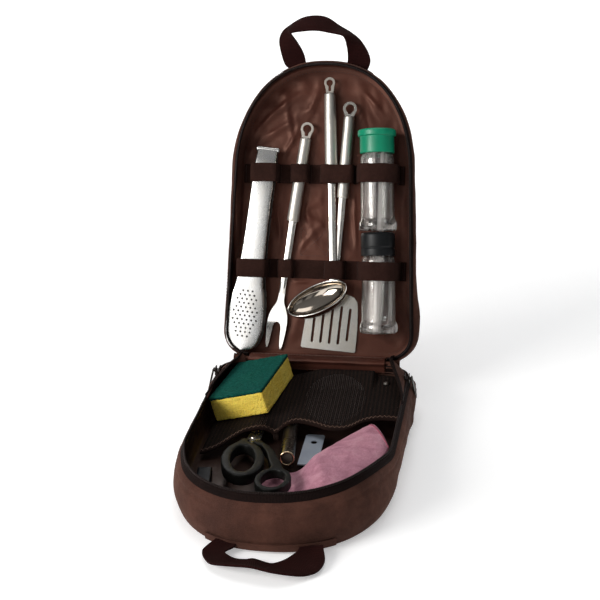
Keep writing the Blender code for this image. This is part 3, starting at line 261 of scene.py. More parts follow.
def tube_grid(name, rings, material, caps=True, uv=None, crease=50):
    """Closed rings joined along a path, with flat ends."""
    R = np.asarray(rings, float)
    m, n = R.shape[:2]
    R = np.concatenate([R, R[:, :1]], 1)
    verts = list(R.reshape(-1, 3))
    faces = quads(m, n + 1)
    if caps:
        for j in (0, m - 1):
            c = len(verts)
            verts.append(R[j, :-1].mean(0))
            for i in range(n):
                a = j * (n + 1) + i
                faces.append((a, a + 1, c) if j else (a + 1, a, c))
    u = np.concatenate([[0], np.cumsum(np.linalg.norm(np.diff(R[m // 2], axis=0), axis=1))])
    v = np.concatenate([[0], np.cumsum(np.linalg.norm(np.diff(R[:, 0], axis=0), axis=1))])
    if uv is None:
        uv = np.stack(np.meshgrid(u, v), -1).reshape(-1, 2)
    extra = len(verts) - len(uv)
    uv = np.vstack([uv, np.zeros((extra, 2))]) if extra else uv
    return build(name, verts, faces, material, uv, crease=crease)


def lathe(name, profile, material, place, sides=64, crease=40, hollow=False):
    """A body turned about local Y from (radius, height) pairs."""
    rows = []
    t = np.linspace(0, 2 * math.pi, sides, endpoint=False)
    for r, h in profile:
        r = max(r, 1e-7)
        rows.append(np.stack([r * np.sin(t), np.full(sides, h), r * np.cos(t)], 1))
    if hollow:
        rows.append(rows[0])
    R = np.array(rows)
    R = R @ np.array(place.to_3x3()).T + np.array(place.translation)
    return tube_grid(name, R, material, caps=False, crease=crease)


def rounded(profile, r, steps=4):
    """Round the corners of a polyline of (radius, height) pairs."""
    p = [np.array(q, float) for q in profile]
    out = [p[0]]
    for i in range(1, len(p) - 1):
        a, b, c = p[i - 1], p[i], p[i + 1]
        la, lc = np.linalg.norm(a - b), np.linalg.norm(c - b)
        k = min(r, 0.45 * la, 0.45 * lc)
        s, e = b + (a - b) / la * k, b + (c - b) / lc * k
        for j in range(steps + 1):
            f = j / steps
            out.append((1 - f) ** 2 * s + 2 * f * (1 - f) * b + f * f * e)
    out.append(p[-1])
    return [tuple(q) for q in out]


def plate(name, outer, holes, thick, to_local, place, material, bevel=0.0003):
    """A plate with holes; its rims are rounded over."""
    loops = [list(map(tuple, outer))] + [list(map(tuple, h)) for h in holes]
    flat = [Vector((p[0], p[1], 0)) for lp in loops for p in lp]
    tris = tessellate_polygon([[Vector((p[0], p[1], 0)) for p in lp] for lp in loops])
    n = len(flat)
    R, T = np.array(place.to_3x3()), np.array(place.translation)
    low = np.array([to_local(p.x, p.y, 0.0) for p in flat]) @ R.T + T
    top = np.array([to_local(p.x, p.y, thick) for p in flat]) @ R.T + T
    faces = [tuple(t) for t in tris] + [tuple(n + i for i in reversed(t)) for t in tris]
    start = 0
    for lp in loops:
        k = len(lp)
        for i in range(k):
            a, b = start + i, start + (i + 1) % k
            faces.append((a, b, n + b, n + a))
        start += k
    ob = build(name, np.vstack([low, top]), faces, material, crease=30)
    if bevel:
        mod = ob.modifiers.new("rim", "BEVEL")
        mod.width = bevel
        mod.segments = 2
        mod.limit_method = "ANGLE"
        mod.angle_limit = rad(50)
        mod.harden_normals = False
        mod = ob.modifiers.new("even", "WEIGHTED_NORMAL")
        mod.weight = 90
        mod.keep_sharp = True
    return ob


def beads(name, path, across, up, pitch, size, material, seg=(6, 4)):
    """Small rounded teeth or stitches along a path.  size is (along, across,
    up) half sizes; across and up are unit vectors at each path point."""
    path, across, up = (np.asarray(a, float) for a in (path, across, up))
    run = np.concatenate([[0], np.cumsum(np.linalg.norm(np.diff(path, axis=0), axis=1))])
    count = max(2, int(run[-1] / pitch))
    at = (np.arange(count) + 0.5) * run[-1] / count
    pick = lambda a: np.stack([np.interp(at, run, a[:, k]) for k in range(3)], 1)
    c, w, h = pick(path), pick(across), pick(up)
    t = pick(np.gradient(path, run, axis=0))
    t /= np.linalg.norm(t, axis=1)[:, None]
    w /= np.linalg.norm(w, axis=1)[:, None]
    h /= np.linalg.norm(h, axis=1)[:, None]
    nu, nv = seg
    local = []
    for j in range(nv + 1):
        f = -math.pi / 2 + math.pi * j / nv
        for i in range(nu):
            g = 2 * math.pi * i / nu
            sx = math.copysign(abs(math.sin(f)) ** 0.6, math.sin(f))
            cr = abs(math.cos(f)) ** 0.6
            local.append((sx, cr * math.cos(g), cr * math.sin(g)))
    local = np.array(local)
    faces1 = []
    for j in range(nv):
        for i in range(nu):
            a = j * nu + i
            b = j * nu + (i + 1) % nu
            faces1.append((a, b, b + nu, a + nu))
    k = len(local)
    verts = (c[:, None] + t[:, None] * local[None, :, :1] * size[0]
             + w[:, None] * local[None, :, 1:2] * size[1]
             + h[:, None] * local[None, :, 2:3] * size[2]).reshape(-1, 3)
    faces = [tuple(k * q + a for a in f) for q in range(count) for f in faces1]
    return build(name, verts, faces, material, crease=None)


def thread(name, path, r, material, sides=6):
    """A thin round thread along a path."""
    p = np.asarray(path, float)
    t = np.gradient(p, axis=0)
    t /= np.maximum(np.linalg.norm(t, axis=1), 1e-9)[:, None]
    ref = np.tile([0.31, 0.17, 0.93], (len(p), 1))
    a = np.cross(t, ref)
    a /= np.linalg.norm(a, axis=1)[:, None]
    b = np.cross(t, a)
    g = 2 * math.pi * np.arange(sides) / sides
    R = p[:, None] + r * (np.cos(g)[None, :, None] * a[:, None] + np.sin(g)[None, :, None] * b[:, None])
    return tube_grid(name, R, material, crease=None)


def joined(name, parts):
    """Several meshes as one piece."""
    bpy.context.view_layer.update()
    mats = []
    bm = bmesh.new()
    for ob in parts:
        base = len(bm.faces)
        bm.from_mesh(ob.data)
        bm.faces.ensure_lookup_table()
        for f in bm.faces[base:]:
            m = ob.data.materials[f.material_index]
            if m not in mats:
                mats.append(m)
            f.material_index = mats.index(m)
    me = bpy.data.meshes.new(name)
    bm.to_mesh(me)
    bm.free()
    for m in mats:
        me.materials.append(m)
    for ob in parts:
        bpy.data.objects.remove(ob, do_unlink=True)
    ob = bpy.data.objects.new(name, me)
    bpy.context.collection.objects.link(ob)
    return ob


def from_node(name, node, material, voxel=None, smooth=0, factor=0.5, subdiv=0):
    """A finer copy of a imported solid, softened all over."""
    src = bpy.data.objects[node]
    ob = bpy.data.objects.new(name, src.data.copy())
    ob.data.name = name
    bpy.context.collection.objects.link(ob)
    ob.data.materials.clear()
    ob.data.materials.append(material)
    bm = bmesh.new()
    bm.from_mesh(ob.data)
    bmesh.ops.remove_doubles(bm, verts=bm.verts, dist=1e-6)
    bmesh.ops.recalc_face_normals(bm, faces=bm.faces)
    bm.to_mesh(ob.data)
    bm.free()
    if voxel:
        mod = ob.modifiers.new("r", "REMESH")
        mod.mode = "VOXEL"
        mod.voxel_size = voxel
        if smooth:
            mod = ob.modifiers.new("s", "SMOOTH")
            mod.factor = factor
            mod.iterations = smooth
        if subdiv:
            mod = ob.modifiers.new("d", "SUBSURF")
            mod.levels = mod.render_levels = subdiv
        dg = bpy.context.evaluated_depsgraph_get()
        me = bpy.data.meshes.new_from_object(ob.evaluated_get(dg))
        ob.modifiers.clear()
        ob.data = me
        ob.data.materials.clear()
        ob.data.materials.append(material)
    ob.data.shade_smooth()
    return ob


# ---------------------------------------------------------------- materials
class Mat:
    """A small helper for procedural materials."""

    def __init__(self, name, **sockets):
        self.m = bpy.data.materials.new(name)
        self.m.use_nodes = True
        self.t = self.m.node_tree
        self.p = self.t.nodes["Principled BSDF"]
        for k, v in sockets.items():
            self.set(k.replace("_", " "), v)

    def set(self, socket, value):
        i = self.p.inputs[socket]
        if isinstance(value, bpy.types.NodeSocket):
            self.t.links.new(value, i)
        elif isinstance(value, tuple):
            i.default_value = (*value, 1.0) if len(value) == 3 and len(i.default_value) == 4 else value
        else:
            i.default_value = value

    def node(self, kind, ins=None, out=0, **props):
        n = self.t.nodes.new(kind)
        for k, v in props.items():
            setattr(n, k, v)
        for k, v in (ins or {}).items():
            s = n.inputs[k]
            if isinstance(v, bpy.types.NodeSocket):
                self.t.links.new(v, s)
            else:
                s.default_value = v
        return n.outputs[out]

    def coords(self, kind="Object", scale=(1, 1, 1), rot=(0, 0, 0)):
        c = self.t.nodes.new("ShaderNodeTexCoord").outputs[kind]
        return self.node("ShaderNodeMapping", {"Vector": c, "Scale": scale, "Rotation": rot})

    def noise(self, vec, scale, detail=3.0, rough=0.5, distortion=0.0):
        return self.node("ShaderNodeTexNoise", {"Vector": vec, "Scale": scale, "Detail": detail,
                                                "Roughness": rough, "Distortion": distortion})

    def wave(self, vec, scale, direction="X", profile="SIN", distortion=0.0, detail=0.0):
        return self.node("ShaderNodeTexWave", {"Vector": vec, "Scale": scale, "Distortion": distortion,
                                               "Detail": detail},
                         wave_type="BANDS", bands_direction=direction, wave_profile=profile, out=1)

    def voronoi(self, vec, scale, feature="F1", out=0):
        return self.node("ShaderNodeTexVoronoi", {"Vector": vec, "Scale": scale}, feature=feature, out=out)

    def ramp(self, fac, stops):
        n = self.t.nodes.new("ShaderNodeValToRGB")
        e = n.color_ramp.elements
        while len(e) > 1:
            e.remove(e[-1])
        e[0].position, e[0].color = stops[0][0], (*stops[0][1], 1)
        for pos, col in stops[1:]:
            x = e.new(pos)
            x.color = (*col, 1)
        self.t.links.new(fac, n.inputs[0])
        return n.outputs[0]

    def remap(self, v, a, b, lo=0.0, hi=1.0):
        return self.node("ShaderNodeMapRange", {"Value": v, "From Min": a, "From Max": b, "To Min": lo,
                                                "To Max": hi})

    def math(self, op, a, b=0.0):
        n = self.t.nodes.new("ShaderNodeMath")
        n.operation = op
        for i, v in enumerate((a, b)):
            if isinstance(v, bpy.types.NodeSocket):
                self.t.links.new(v, n.inputs[i])
            else:
                n.inputs[i].default_value = v
        return n.outputs[0]

    def mix(self, fac, a, b, mode="MIX"):
        n = self.t.nodes.new("ShaderNodeMix")
        n.data_type = "RGBA"
        n.blend_type = mode
        for i, v in ((0, fac), (6, a), (7, b)):
            if isinstance(v, bpy.types.NodeSocket):
                self.t.links.new(v, n.inputs[i])
            elif isinstance(v, tuple):
                n.inputs[i].default_value = (*v, 1)
            else:
                n.inputs[i].default_value = v
        return n.outputs[2]

    def bump(self, *layers):
        """(height, strength, distance) layers, laid over each other."""
        normal = None
        for height, strength, distance in layers:
            ins = {"Height": height, "Strength": strength, "Distance": distance}
            if normal is not None:
                ins["Normal"] = normal
            normal = self.node("ShaderNodeBump", ins)
        self.set("Normal", normal)


def canvas_material():
    k = Mat("canvas_brushed", Roughness=0.95, Sheen_Weight=0.10, Sheen_Roughness=0.4,
            Sheen_Tint=(0.75, 0.42, 0.32, 1.0), Specular_IOR_Level=0.12)
    o = k.coords("Object")
    uv = k.coords("UV")
    big = k.noise(o, 15, 4, 0.62, 0.5)
    mid = k.noise(o, 75, 4, 0.7, 0.3)
    nap = k.noise(k.coords("Object", (1, 1, 2.2)), 850, 2, 0.6)
    c = k.ramp(k.remap(big, 0.34, 0.68), [(0.0, (0.0400, 0.0155, 0.0108)), (0.5, (0.0640, 0.0246, 0.0164)),
                                         (1.0, (0.1060, 0.0420, 0.0278))])
    c = k.mix(k.remap(mid, 0.35, 0.7, 0.0, 0.55), c, (0.0240, 0.0108, 0.0085))
    c = k.mix(k.remap(nap, 0.35, 0.75, 0.0, 0.35), c, (0.090, 0.045, 0.034))
    k.set("Base Color", c)
    k.set("Roughness", k.remap(mid, 0.3, 0.7, 0.86, 1.0))
    weave = k.math("MULTIPLY", k.wave(uv, 260, "X"), k.wave(uv, 260, "Y"))
    k.bump((weave, 0.25, 0.0002), (nap, 0.40, 0.0003), (mid, 0.30, 0.0010), (big, 0.35, 0.0030))
    return k.m


def satin_material(name, dark, light, scale=1.0):
    k = Mat(name, Specular_IOR_Level=0.42, Anisotropic=0.35, Sheen_Weight=0.08, Sheen_Roughness=0.3,
            Specular_Tint=(1.0, 0.56, 0.43, 1.0), Sheen_Tint=(0.9, 0.45, 0.33, 1.0))
    o = k.coords("Object")
    uv = k.coords("UV")
    big = k.noise(o, 14 * scale, 3, 0.55, 0.6)
    fine = k.noise(k.coords("Object", (1, 1, 6)), 420, 2, 0.5)
    c = k.mix(k.remap(big, 0.35, 0.68), dark, light)
    c = k.mix(k.remap(fine, 0.35, 0.7, 0.0, 0.25), c, tuple(0.45 * v for v in dark))
    k.set("Base Color", c)
    k.set("Roughness", k.remap(k.noise(o, 60, 3), 0.3, 0.7, 0.36, 0.48))
    threads = k.wave(uv, 520, "Y")
    k.bump((threads, 0.10, 0.0001), (k.noise(o, 150, 3, 0.6), 0.12, 0.0006))
    return k.m


def ribbed_material(name, dark, light, rib=0.0016, along=True, rough=0.90, spec=0.06, herring=False, groove_shade=0.45):
    """Woven narrow fabric: ribs along or across its length."""
    k = Mat(name, Specular_IOR_Level=spec, Sheen_Weight=0.03, Sheen_Roughness=0.4,
            Sheen_Tint=(0.6, 0.35, 0.28, 1.0))
    uv = k.coords("UV")
    o = k.coords("Object")
    lines = k.wave(uv, 0.314 / rib, "Y" if along else "X")
    cross = k.wave(uv, 0.314 / 0.0009, "X" if along else "Y")
    if herring:
        cross = k.wave(k.coords("UV", (1, 1, 1), (0, 0, rad(38))), 0.314 / 0.0012, "X")
    grain = k.noise(o, 700, 2, 0.6)
    tone = k.noise(o, 40, 3, 0.6)
    c = k.mix(k.remap(tone, 0.3, 0.7), dark, light)
    # painted shade: the grooves between the ribs are darkened
    c = k.mix(k.math("MULTIPLY", k.math("SUBTRACT", 1.0, lines), groove_shade), c, tuple(0.35 * v for v in dark))
    c = k.mix(k.remap(grain, 0.35, 0.75, 0.0, 0.3), c, tuple(1.7 * v for v in light))
    k.set("Base Color", c)
    k.set("Roughness", k.remap(grain, 0.3, 0.7, rough - 0.06, rough + 0.08))
    k.bump((lines, 0.6, 0.0004), (cross, 0.35, 0.0002), (grain, 0.25, 0.0002))
    return k.m


def steel_material(name, colour, rough, brushed=0.0, axis=(1, 1, 1), smudge=0.06, aniso=0.0):
    k = Mat(name, Metallic=1.0, Specular_IOR_Level=0.5, Anisotropic=aniso)
    o = k.coords("Object")
    s = k.coords("Object", axis)
    lines = k.noise(s, 900, 3, 0.65)
    patch = k.noise(o, 55, 4, 0.6, 0.5)
    warm = tuple(c * w for c, w in zip(colour, (0.93, 0.86, 0.76)))
    c = k.mix(k.remap(patch, 0.35, 0.75, 0.0, 0.55), colour, warm)
    if brushed:
        c = k.mix(k.remap(lines, 0.3, 0.7, 0.0, 0.35), c, tuple(0.62 * v for v in colour))
    k.set("Base Color", c)
    k.set("Roughness", k.math("ADD", k.remap(patch, 0.3, 0.75, rough - smudge / 2, rough + smudge),
                              k.remap(lines, 0.3, 0.7, 0.0, 0.10 * brushed)))
    k.bump((lines, 0.04 + 0.22 * brushed, 0.0001), (k.noise(o, 90, 1), 0.02, 0.0006))
    return k.m


def plastic_material(name, colour, rough, spec=0.5, grain=0.25, scale=500, coat=0.0):
    k = Mat(name, Specular_IOR_Level=spec, Coat_Weight=coat, Coat_Roughness=0.12)
    o = k.coords("Object")
    n = k.noise(o, scale, 3, 0.6)
    tone = k.noise(o, 45, 3, 0.6)
    c = k.mix(k.remap(tone, 0.3, 0.7), tuple(0.82 * v for v in colour), tuple(1.12 * v for v in colour))
    k.set("Base Color", c)
    k.set("Roughness", k.math("ADD", k.remap(tone, 0.3, 0.7, rough - 0.04, rough + 0.05),
                              k.remap(n, 0.3, 0.7, 0.0, 0.04)))
    k.bump((n, grain, 0.00015))
    return k.m


def glass_material():
    k = Mat("shaker_glass", IOR=1.47, Transmission_Weight=1.0, Specular_IOR_Level=0.5)
    o = k.coords("Object")
    k.set("Base Color", k.mix(k.remap(k.noise(o, 60, 2), 0.3, 0.7), (0.955, 0.972, 0.968), (0.985, 0.992, 0.99)))
    k.set("Roughness", k.remap(k.noise(o, 140, 3), 0.35, 0.7, 0.015, 0.05))
    k.bump((k.noise(o, 70, 2), 0.10, 0.0008))
    # painted highlight: soft bright streaks down the jar, a bright metallic shader mixed in along them
    highlight_streak = k.noise(k.coords("Object", (1, 0.02, 0.02)), 135, 2, 0.5)
    painted_highlight_bsdf = k.node("ShaderNodeBsdfPrincipled", {"Base Color": (0.74, 0.70, 0.66, 1), "Metallic": 0.55,
                                                 "Roughness": 0.34})
    mixed = k.node("ShaderNodeMixShader", {0: k.remap(highlight_streak, 0.40, 0.62, 0.03, 0.50), 1: k.p.outputs[0], 2: painted_highlight_bsdf})
    k.t.links.new(mixed, k.t.nodes["Material Output"].inputs[0])
    return k.m


def foam_material():
    k = Mat("foam_cells", Specular_IOR_Level=0.15, Roughness=0.96, Subsurface_Weight=0.12,
            Subsurface_Radius=(0.004, 0.003, 0.001), Subsurface_Scale=0.6)
    o = k.coords("Object")
    cells = k.voronoi(o, 620)
    big = k.voronoi(o, 210)
    tone = k.noise(o, 30, 3, 0.6)
    c = k.ramp(k.remap(tone, 0.3, 0.72), [(0, (0.90, 0.640, 0.085)), (1, (0.97, 0.770, 0.150))])
    # painted shade in the pores: darker near the centres of the small and the large cells
    c = k.mix(k.remap(cells, 0.05, 0.55, 0.32, 0.0), c, (0.36, 0.220, 0.025))
    c = k.mix(k.remap(big, 0.0, 0.20, 0.32, 0.0), c, (0.26, 0.155, 0.015))
    k.set("Base Color", c)
    k.bump((cells, 0.7, 0.0007), (k.remap(big, 0.0, 0.3), 0.6, 0.0007), (k.noise(o, 900, 2), 0.4, 0.0003))
    return k.m


def scour_material():
    k = Mat("scouring_fibre", Specular_IOR_Level=0.08, Roughness=1.0, Sheen_Weight=0.04,
            Sheen_Tint=(0.1, 0.75, 0.55, 1.0))
    o = k.coords("Object")
    warp = k.noise(o, 260, 5, 0.75, 2.4)
    fine = k.noise(o, 1100, 3, 0.7, 1.2)
    tone = k.noise(o, 22, 3, 0.6)
    c = k.ramp(k.remap(warp, 0.32, 0.68), [(0, (0.0015, 0.026, 0.018)), (0.55, (0.005, 0.074, 0.054)),
                                           (1, (0.016, 0.135, 0.105))])
    c = k.mix(k.remap(tone, 0.35, 0.7, 0.0, 0.35), c, (0.003, 0.050, 0.052))
    k.set("Base Color", c)
    k.bump((warp, 0.9, 0.0011), (fine, 0.6, 0.0005))
    return k.m


def towel_material():
    k = Mat("brushed_cloth", Specular_IOR_Level=0.08, Roughness=1.0, Sheen_Weight=0.12, Sheen_Roughness=0.6,
            Sheen_Tint=(1.0, 0.70, 0.80, 1.0))
    o = k.coords("Object")
    uv = k.coords("UV")
    pile = k.noise(o, 650, 3, 0.7, 0.6)
    blot = k.noise(o, 60, 4, 0.65, 0.6)
    tone = k.noise(o, 20, 3, 0.6)
    c = k.ramp(k.remap(blot, 0.33, 0.70), [(0, (0.38, 0.150, 0.200)), (0.5, (0.58, 0.265, 0.330)),
                                           (1, (0.70, 0.375, 0.430))])
    c = k.mix(k.remap(tone, 0.35, 0.68, 0.0, 0.4), c, (0.36, 0.185, 0.255))
    c = k.mix(k.remap(pile, 0.35, 0.70, 0.35, 0.0), c, (0.23, 0.085, 0.120))
    k.set("Base Color", c)
    rows = k.wave(uv, 150, "X", distortion=1.2, detail=2)
    k.bump((pile, 0.9, 0.0009), (blot, 0.5, 0.0016), (rows, 0.15, 0.0004))
    return k.m


def net_material():
    """Fine tricot net: round holes between ribs, closer together in bands."""
    k = Mat("tricot_net", Roughness=0.85, Specular_IOR_Level=0.12)
    uv = k.coords("UV")
    o = k.coords("Object")
    ribs = k.wave(uv, 0.314 / 0.0019, "X")
    rungs = k.wave(uv, 0.314 / 0.0017, "Y")
    band = k.wave(uv, 0.314 / 0.0042, "X", distortion=0.5)
    hole = k.math("MULTIPLY", ribs, rungs)
    hole = k.math("ADD", hole, k.math("MULTIPLY", band, 0.16))
    alpha = k.remap(hole, 0.40, 0.62, 1.0, 0.14)
    c = k.mix(k.remap(band, 0.2, 0.8), (0.0040, 0.0026, 0.0022), (0.0150, 0.0085, 0.0066))
    c = k.mix(k.remap(k.noise(o, 500, 2), 0.4, 0.7, 0.0, 0.4), c, (0.022, 0.0130, 0.0100))
    k.set("Base Color", c)
    k.set("Alpha", alpha)
    k.bump((hole, 0.4, 0.0003))
    return k.m


def floor_material():
    k = Mat("studio_paper", Roughness=0.9, Specular_IOR_Level=0.1)
    o = k.coords("Object")
    k.set("Base Color", k.mix(k.remap(k.noise(o, 6, 2), 0.3, 0.7), (0.86, 0.86, 0.86), (0.875, 0.875, 0.875)))
    k.set("Emission Color", (1.0, 1.0, 1.0))
    k.set("Emission Strength", 0.36)
    k.bump((k.noise(o, 900, 2), 0.02, 0.0001))
    return k.m


M_CANVAS = canvas_material()
M_SATIN = satin_material("satin_brown", (0.0400, 0.0124, 0.0088), (0.0860, 0.0290, 0.0198))
# painted shade: a darker copy of the lining satin for the lid's side walls
M_SATIN_WALL_SHADE = satin_material("satin_brown_wall_painted_shade", (0.0120, 0.0048, 0.0038), (0.0230, 0.0090, 0.0068))
# painted shade: a much darker copy of the lining satin for inside the tub
M_SATIN_TUB_SHADE = satin_material("satin_brown_tub_painted_shade", (0.0085, 0.0040, 0.0032), (0.0170, 0.0080, 0.0062))
M_TAPE = ribbed_material("zip_tape_weave", (0.0058, 0.0034, 0.0032), (0.0110, 0.0058, 0.0050), 0.0012)
M_COIL = plastic_material("zip_coil_nylon", (0.0125, 0.0064, 0.0054), 0.55, 0.20, 0.1)
M_ELASTIC = ribbed_material("elastic_ribs", (0.0180, 0.0078, 0.0060), (0.0330, 0.0142, 0.0108), 0.0013, groove_shade=0.35)
M_WEB = ribbed_material("webbing_weave", (0.0105, 0.0026, 0.0024), (0.0185, 0.0046, 0.0041), 0.0016, False,
                        herring=True, groove_shade=0.25)
M_BIND = ribbed_material("binding_tape", (0.0080, 0.0042, 0.0034), (0.0150, 0.0074, 0.0058), 0.0014)
M_STITCH = plastic_material("sewing_thread", (0.085, 0.045, 0.034), 0.6, 0.4, 0.4)
M_STITCH_PALE = plastic_material("zigzag_thread", (0.24, 0.145, 0.105), 0.6, 0.4, 0.4)
M_STITCH_DARK = plastic_material("dark_thread", (0.030, 0.016, 0.012), 0.55, 0.4, 0.4)
M_PAD = plastic_material("pad_foam_sheet", (0.05, 0.05, 0.05), 0.95, 0.1, 0.6, 300)
M_POLISH = steel_material("steel_polished", (0.78, 0.76, 0.725), 0.14, 0.0, smudge=0.06)
M_BLADE = steel_material("steel_sheet", (0.74, 0.74, 0.73), 0.26, 0.22, (0.55, 0.25, 0.02), 0.02)
# painted brown reflection and shade: a darker, browner copy of the polished steel for the ladle's bowl
M_BOWL_REFLECTION = steel_material("steel_bowl_painted_reflection", (0.40, 0.355, 0.305), 0.10, 0.0, smudge=0.05)
# painted shade and brown reflection: a darker copy of the polished steel for the turner's blade and ring
M_TURNER_SHADE = steel_material("steel_turner_painted_shade", (0.42, 0.405, 0.375), 0.24, 0.0, (8, 2, 2), 0.02)
M_SATIN_STEEL = steel_material("steel_satin", (0.60, 0.58, 0.545), 0.40, 1.0, (8, 0.4, 0.4), 0.05, 0.3)
M_TUBE = steel_material("steel_tube_dark", (0.17, 0.145, 0.125), 0.26, 0.3, (3, 3, 3), 0.06)
M_RING = steel_material("steel_ring", (0.48, 0.45, 0.41), 0.28, 0.2, (3, 3, 3), 0.08)
M_GOLD = steel_material("steel_ring_warm", (0.72, 0.55, 0.36), 0.18, 0.1, (3, 3, 3), 0.06)
# painted reflection: a blue tint that stands in for the sky mirrored in the plate
M_STEEL_SKY_REFLECTION = steel_material("steel_painted_sky_reflection", (0.60, 0.67, 0.78), 0.45, 0.7, (1, 6, 6), 0.08)
M_DARKMETAL = steel_material("dark_metal_satin", (0.035, 0.027, 0.023), 0.42, 0.2, (3, 3, 3), 0.08)
# painted shade: a dark steel for the rear tongs arm's faces towards the front arm
M_SHADE = steel_material("steel_inner_face_painted_shade", (0.16, 0.15, 0.14), 0.50, 0.4, (1, 8, 8), 0.08)
M_GLASS = glass_material()
M_GREEN = plastic_material("cap_green_moulded", (0.001, 0.215, 0.112), 0.36, 0.4, 0.12, 400, 0.05)
M_BLACK = plastic_material("cap_black_moulded", (0.0045, 0.0052, 0.0060), 0.38, 0.25, 0.12, 400, 0.0)
M_GRIP = plastic_material("grip_black_moulded", (0.0042, 0.0043, 0.0036), 0.48, 0.22, 0.2, 350, 0.0)
M_CASE = plastic_material("case_blue_moulded", (0.0007, 0.0012, 0.0045), 0.36, 0.12, 0.1, 300, 0.0)
M_CORE = plastic_material("tube_core", (0.050, 0.040, 0.033), 0.5, 0.3, 0.2, 300, 0.0)
M_PADDLE = plastic_material("paddle_moulded", (0.62, 0.58, 0.56), 0.60, 0.25, 0.3, 420)
M_FOAM = foam_material()
M_SCOUR = scour_material()
M_TOWEL = towel_material()
M_HEM = plastic_material("cloth_hem_thread", (0.34, 0.095, 0.135), 0.95, 0.05, 0.8, 900)
M_NET = net_material()
M_FLOOR = floor_material()


def give(node, material, slot=None):
    ob = bpy.data.objects[node]
    for s in ob.material_slots:
        s.material = material
    if not ob.material_slots:
        ob.data.materials.append(material)
    return ob


def stand_for(ob, body, *nodes, slot=None):
    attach(ob, body)
    if nodes:
        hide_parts(*nodes)
    return ob


# --------------------------------------------------------------- base half
def section(points, count):
    return spline(points, count)


def wall_wobble(run, z, depth):
    """How far the soft wall stands out at a place on the outline and height."""
    f = step(0.0, 0.25, z / depth) * (1 - step(0.80, 1.0, z / depth))
    q = np.stack([run, z * 1.6, np.zeros_like(run)], -1)
    return f * (0.0011 * fbm(q, 16, 3.1, 2) + 0.0004 * fbm(q, 55, 8.7, 2))


def rear_folds(x, s, z):
    """Slanting folds where the tub's right wall slackens towards the hinge."""
    f = step(0.02, 0.06, x) * (1 - step(0.13, 0.20, s)) * step(0.006, 0.016, z) * (1 - step(0.0315, 0.0350, z))
    g = (z - 0.021) + 0.30 * (s - 0.055)
    h = (z - 0.014) - 0.22 * (s - 0.085)
    return f * (0.0026 * np.exp(-(g / 0.0050) ** 2) - 0.0016 * np.exp(-((g + 0.0085) / 0.0035) ** 2)
                + 0.0014 * np.exp(-(h / 0.0042) ** 2))


def ring_rows(profile, sign=1.0, depth=RIM_Z, extra=0.0):
    """Grid of (x, s, h) over the closed outline for a profile of (h, off)."""
    h, off = profile[:, 0], profile[:, 1]
    run = RUN[:-1]
    hh = np.repeat(h[:, None], len(OUT), 1)
    rr = np.repeat(run[None, :], len(h), 0)
    wob = wall_wobble(rr, np.abs(hh), depth)
    x0 = OUT[None, :, 0] + INWARD[None, :, 0] * off[:, None]
    s0 = OUT[None, :, 1] + INWARD[None, :, 1] * off[:, None]
    if sign > 0:
        wob = wob + rear_folds(x0, s0, hh)
    else:
        wob = wob + 0.0042 * np.exp(-((s0 - 0.048) / 0.030) ** 2) * step(0.06, 0.10, x0) \
            * step(0.008, 0.018, np.abs(hh)) + 0.0024 * np.exp(-((s0 - 0.200) / 0.050) ** 2) * step(0.06, 0.09, -x0) \
            * step(0.008, 0.018, np.abs(hh))
    x = x0 - INWARD[None, :, 0] * wob
    s = s0 - INWARD[None, :, 1] * wob
    return np.stack([x, s, hh], -1)


def close_ring(P):
    return np.concatenate([P, P[:, :1]], 1)


def floor_rows(ring, count, height, centre=(0.0, 0.155)):
    """Rings shrinking from an edge ring to the middle of a floor."""
    rows = []
    c = np.array(centre)
    for k in range(1, count + 1):
        f = 1 - k / (count + 0.02)
        xy = c + (ring[:, :2] - c) * f
        rows.append(np.concatenate([xy, np.full((len(ring), 1), height)], 1))
    return np.array(rows)


def rim_uv(m, rows_h):
    u = np.append(RUN[:-1], RUN[-1])
    v = np.concatenate([[0], np.cumsum(np.linalg.norm(np.diff(rows_h, axis=0), axis=1))])
    return np.stack(np.meshgrid(u, v), -1)


wall = section([(0.0352, 0.0015), (0.0330, -0.0006), (0.0250, -0.0028), (0.0140, -0.0025),
                (0.0050, 0.0004), (0.0011, 0.0026), (0.0003, 0.0062)], 34)
# a fine sewn ridge under the rim
wall[:, 1] -= 0.0005 * np.exp(-((wall[:, 0] - 0.0318) / 0.0011) ** 2)
wall[:, 1] += 0.0006 * np.exp(-((wall[:, 0] - 0.0292) / 0.0007) ** 2)
P = ring_rows(wall)
P = np.concatenate([P, floor_rows(P[-1], 16, 0.0003)], 0)
uv = rim_uv(len(P), P[:, 0])
ob = skin("tub_canvas", tub_world(close_ring(P)), 0.0010, M_CANVAS, True, uv, side=-1)
BASE_CANVAS = stand_for(ob, "base", "base_shell", slot="canvas")

# satin lining of the tub: wall and floor, with soft creases
lin = section([(0.0347, 0.0033), (0.0330, 0.0013), (0.0250, -0.0009), (0.0140, -0.0005),
               (0.0066, 0.0034), (0.0052, 0.0072)], 26)
P = ring_rows(lin)
F = floor_rows(P[-1], 44, 0.0050)
crease = 0.0006 * fbm(np.stack([F[..., 0] * 1.5, F[..., 1], np.zeros(F.shape[:2])], -1), 38, 4.4, 3)
F[..., 2] += np.clip(crease, -0.0006, 0.0004) * step(0, 6, np.arange(44))[:, None]
P = np.concatenate([P, F], 0)
q = np.stack([P[..., 0], P[..., 1], P[..., 2] * 2], -1)
inner = np.zeros(P.shape[:2])
inner[2:26] = 0.0006 * fbm(q[2:26], 60, 1.7, 3) * np.sin(np.linspace(0, math.pi, 24))[:, None]
P[..., 0] += INWARD[None, :, 0] * np.maximum(inner, -0.0002)
P[..., 1] += INWARD[None, :, 1] * np.maximum(inner, -0.0002)
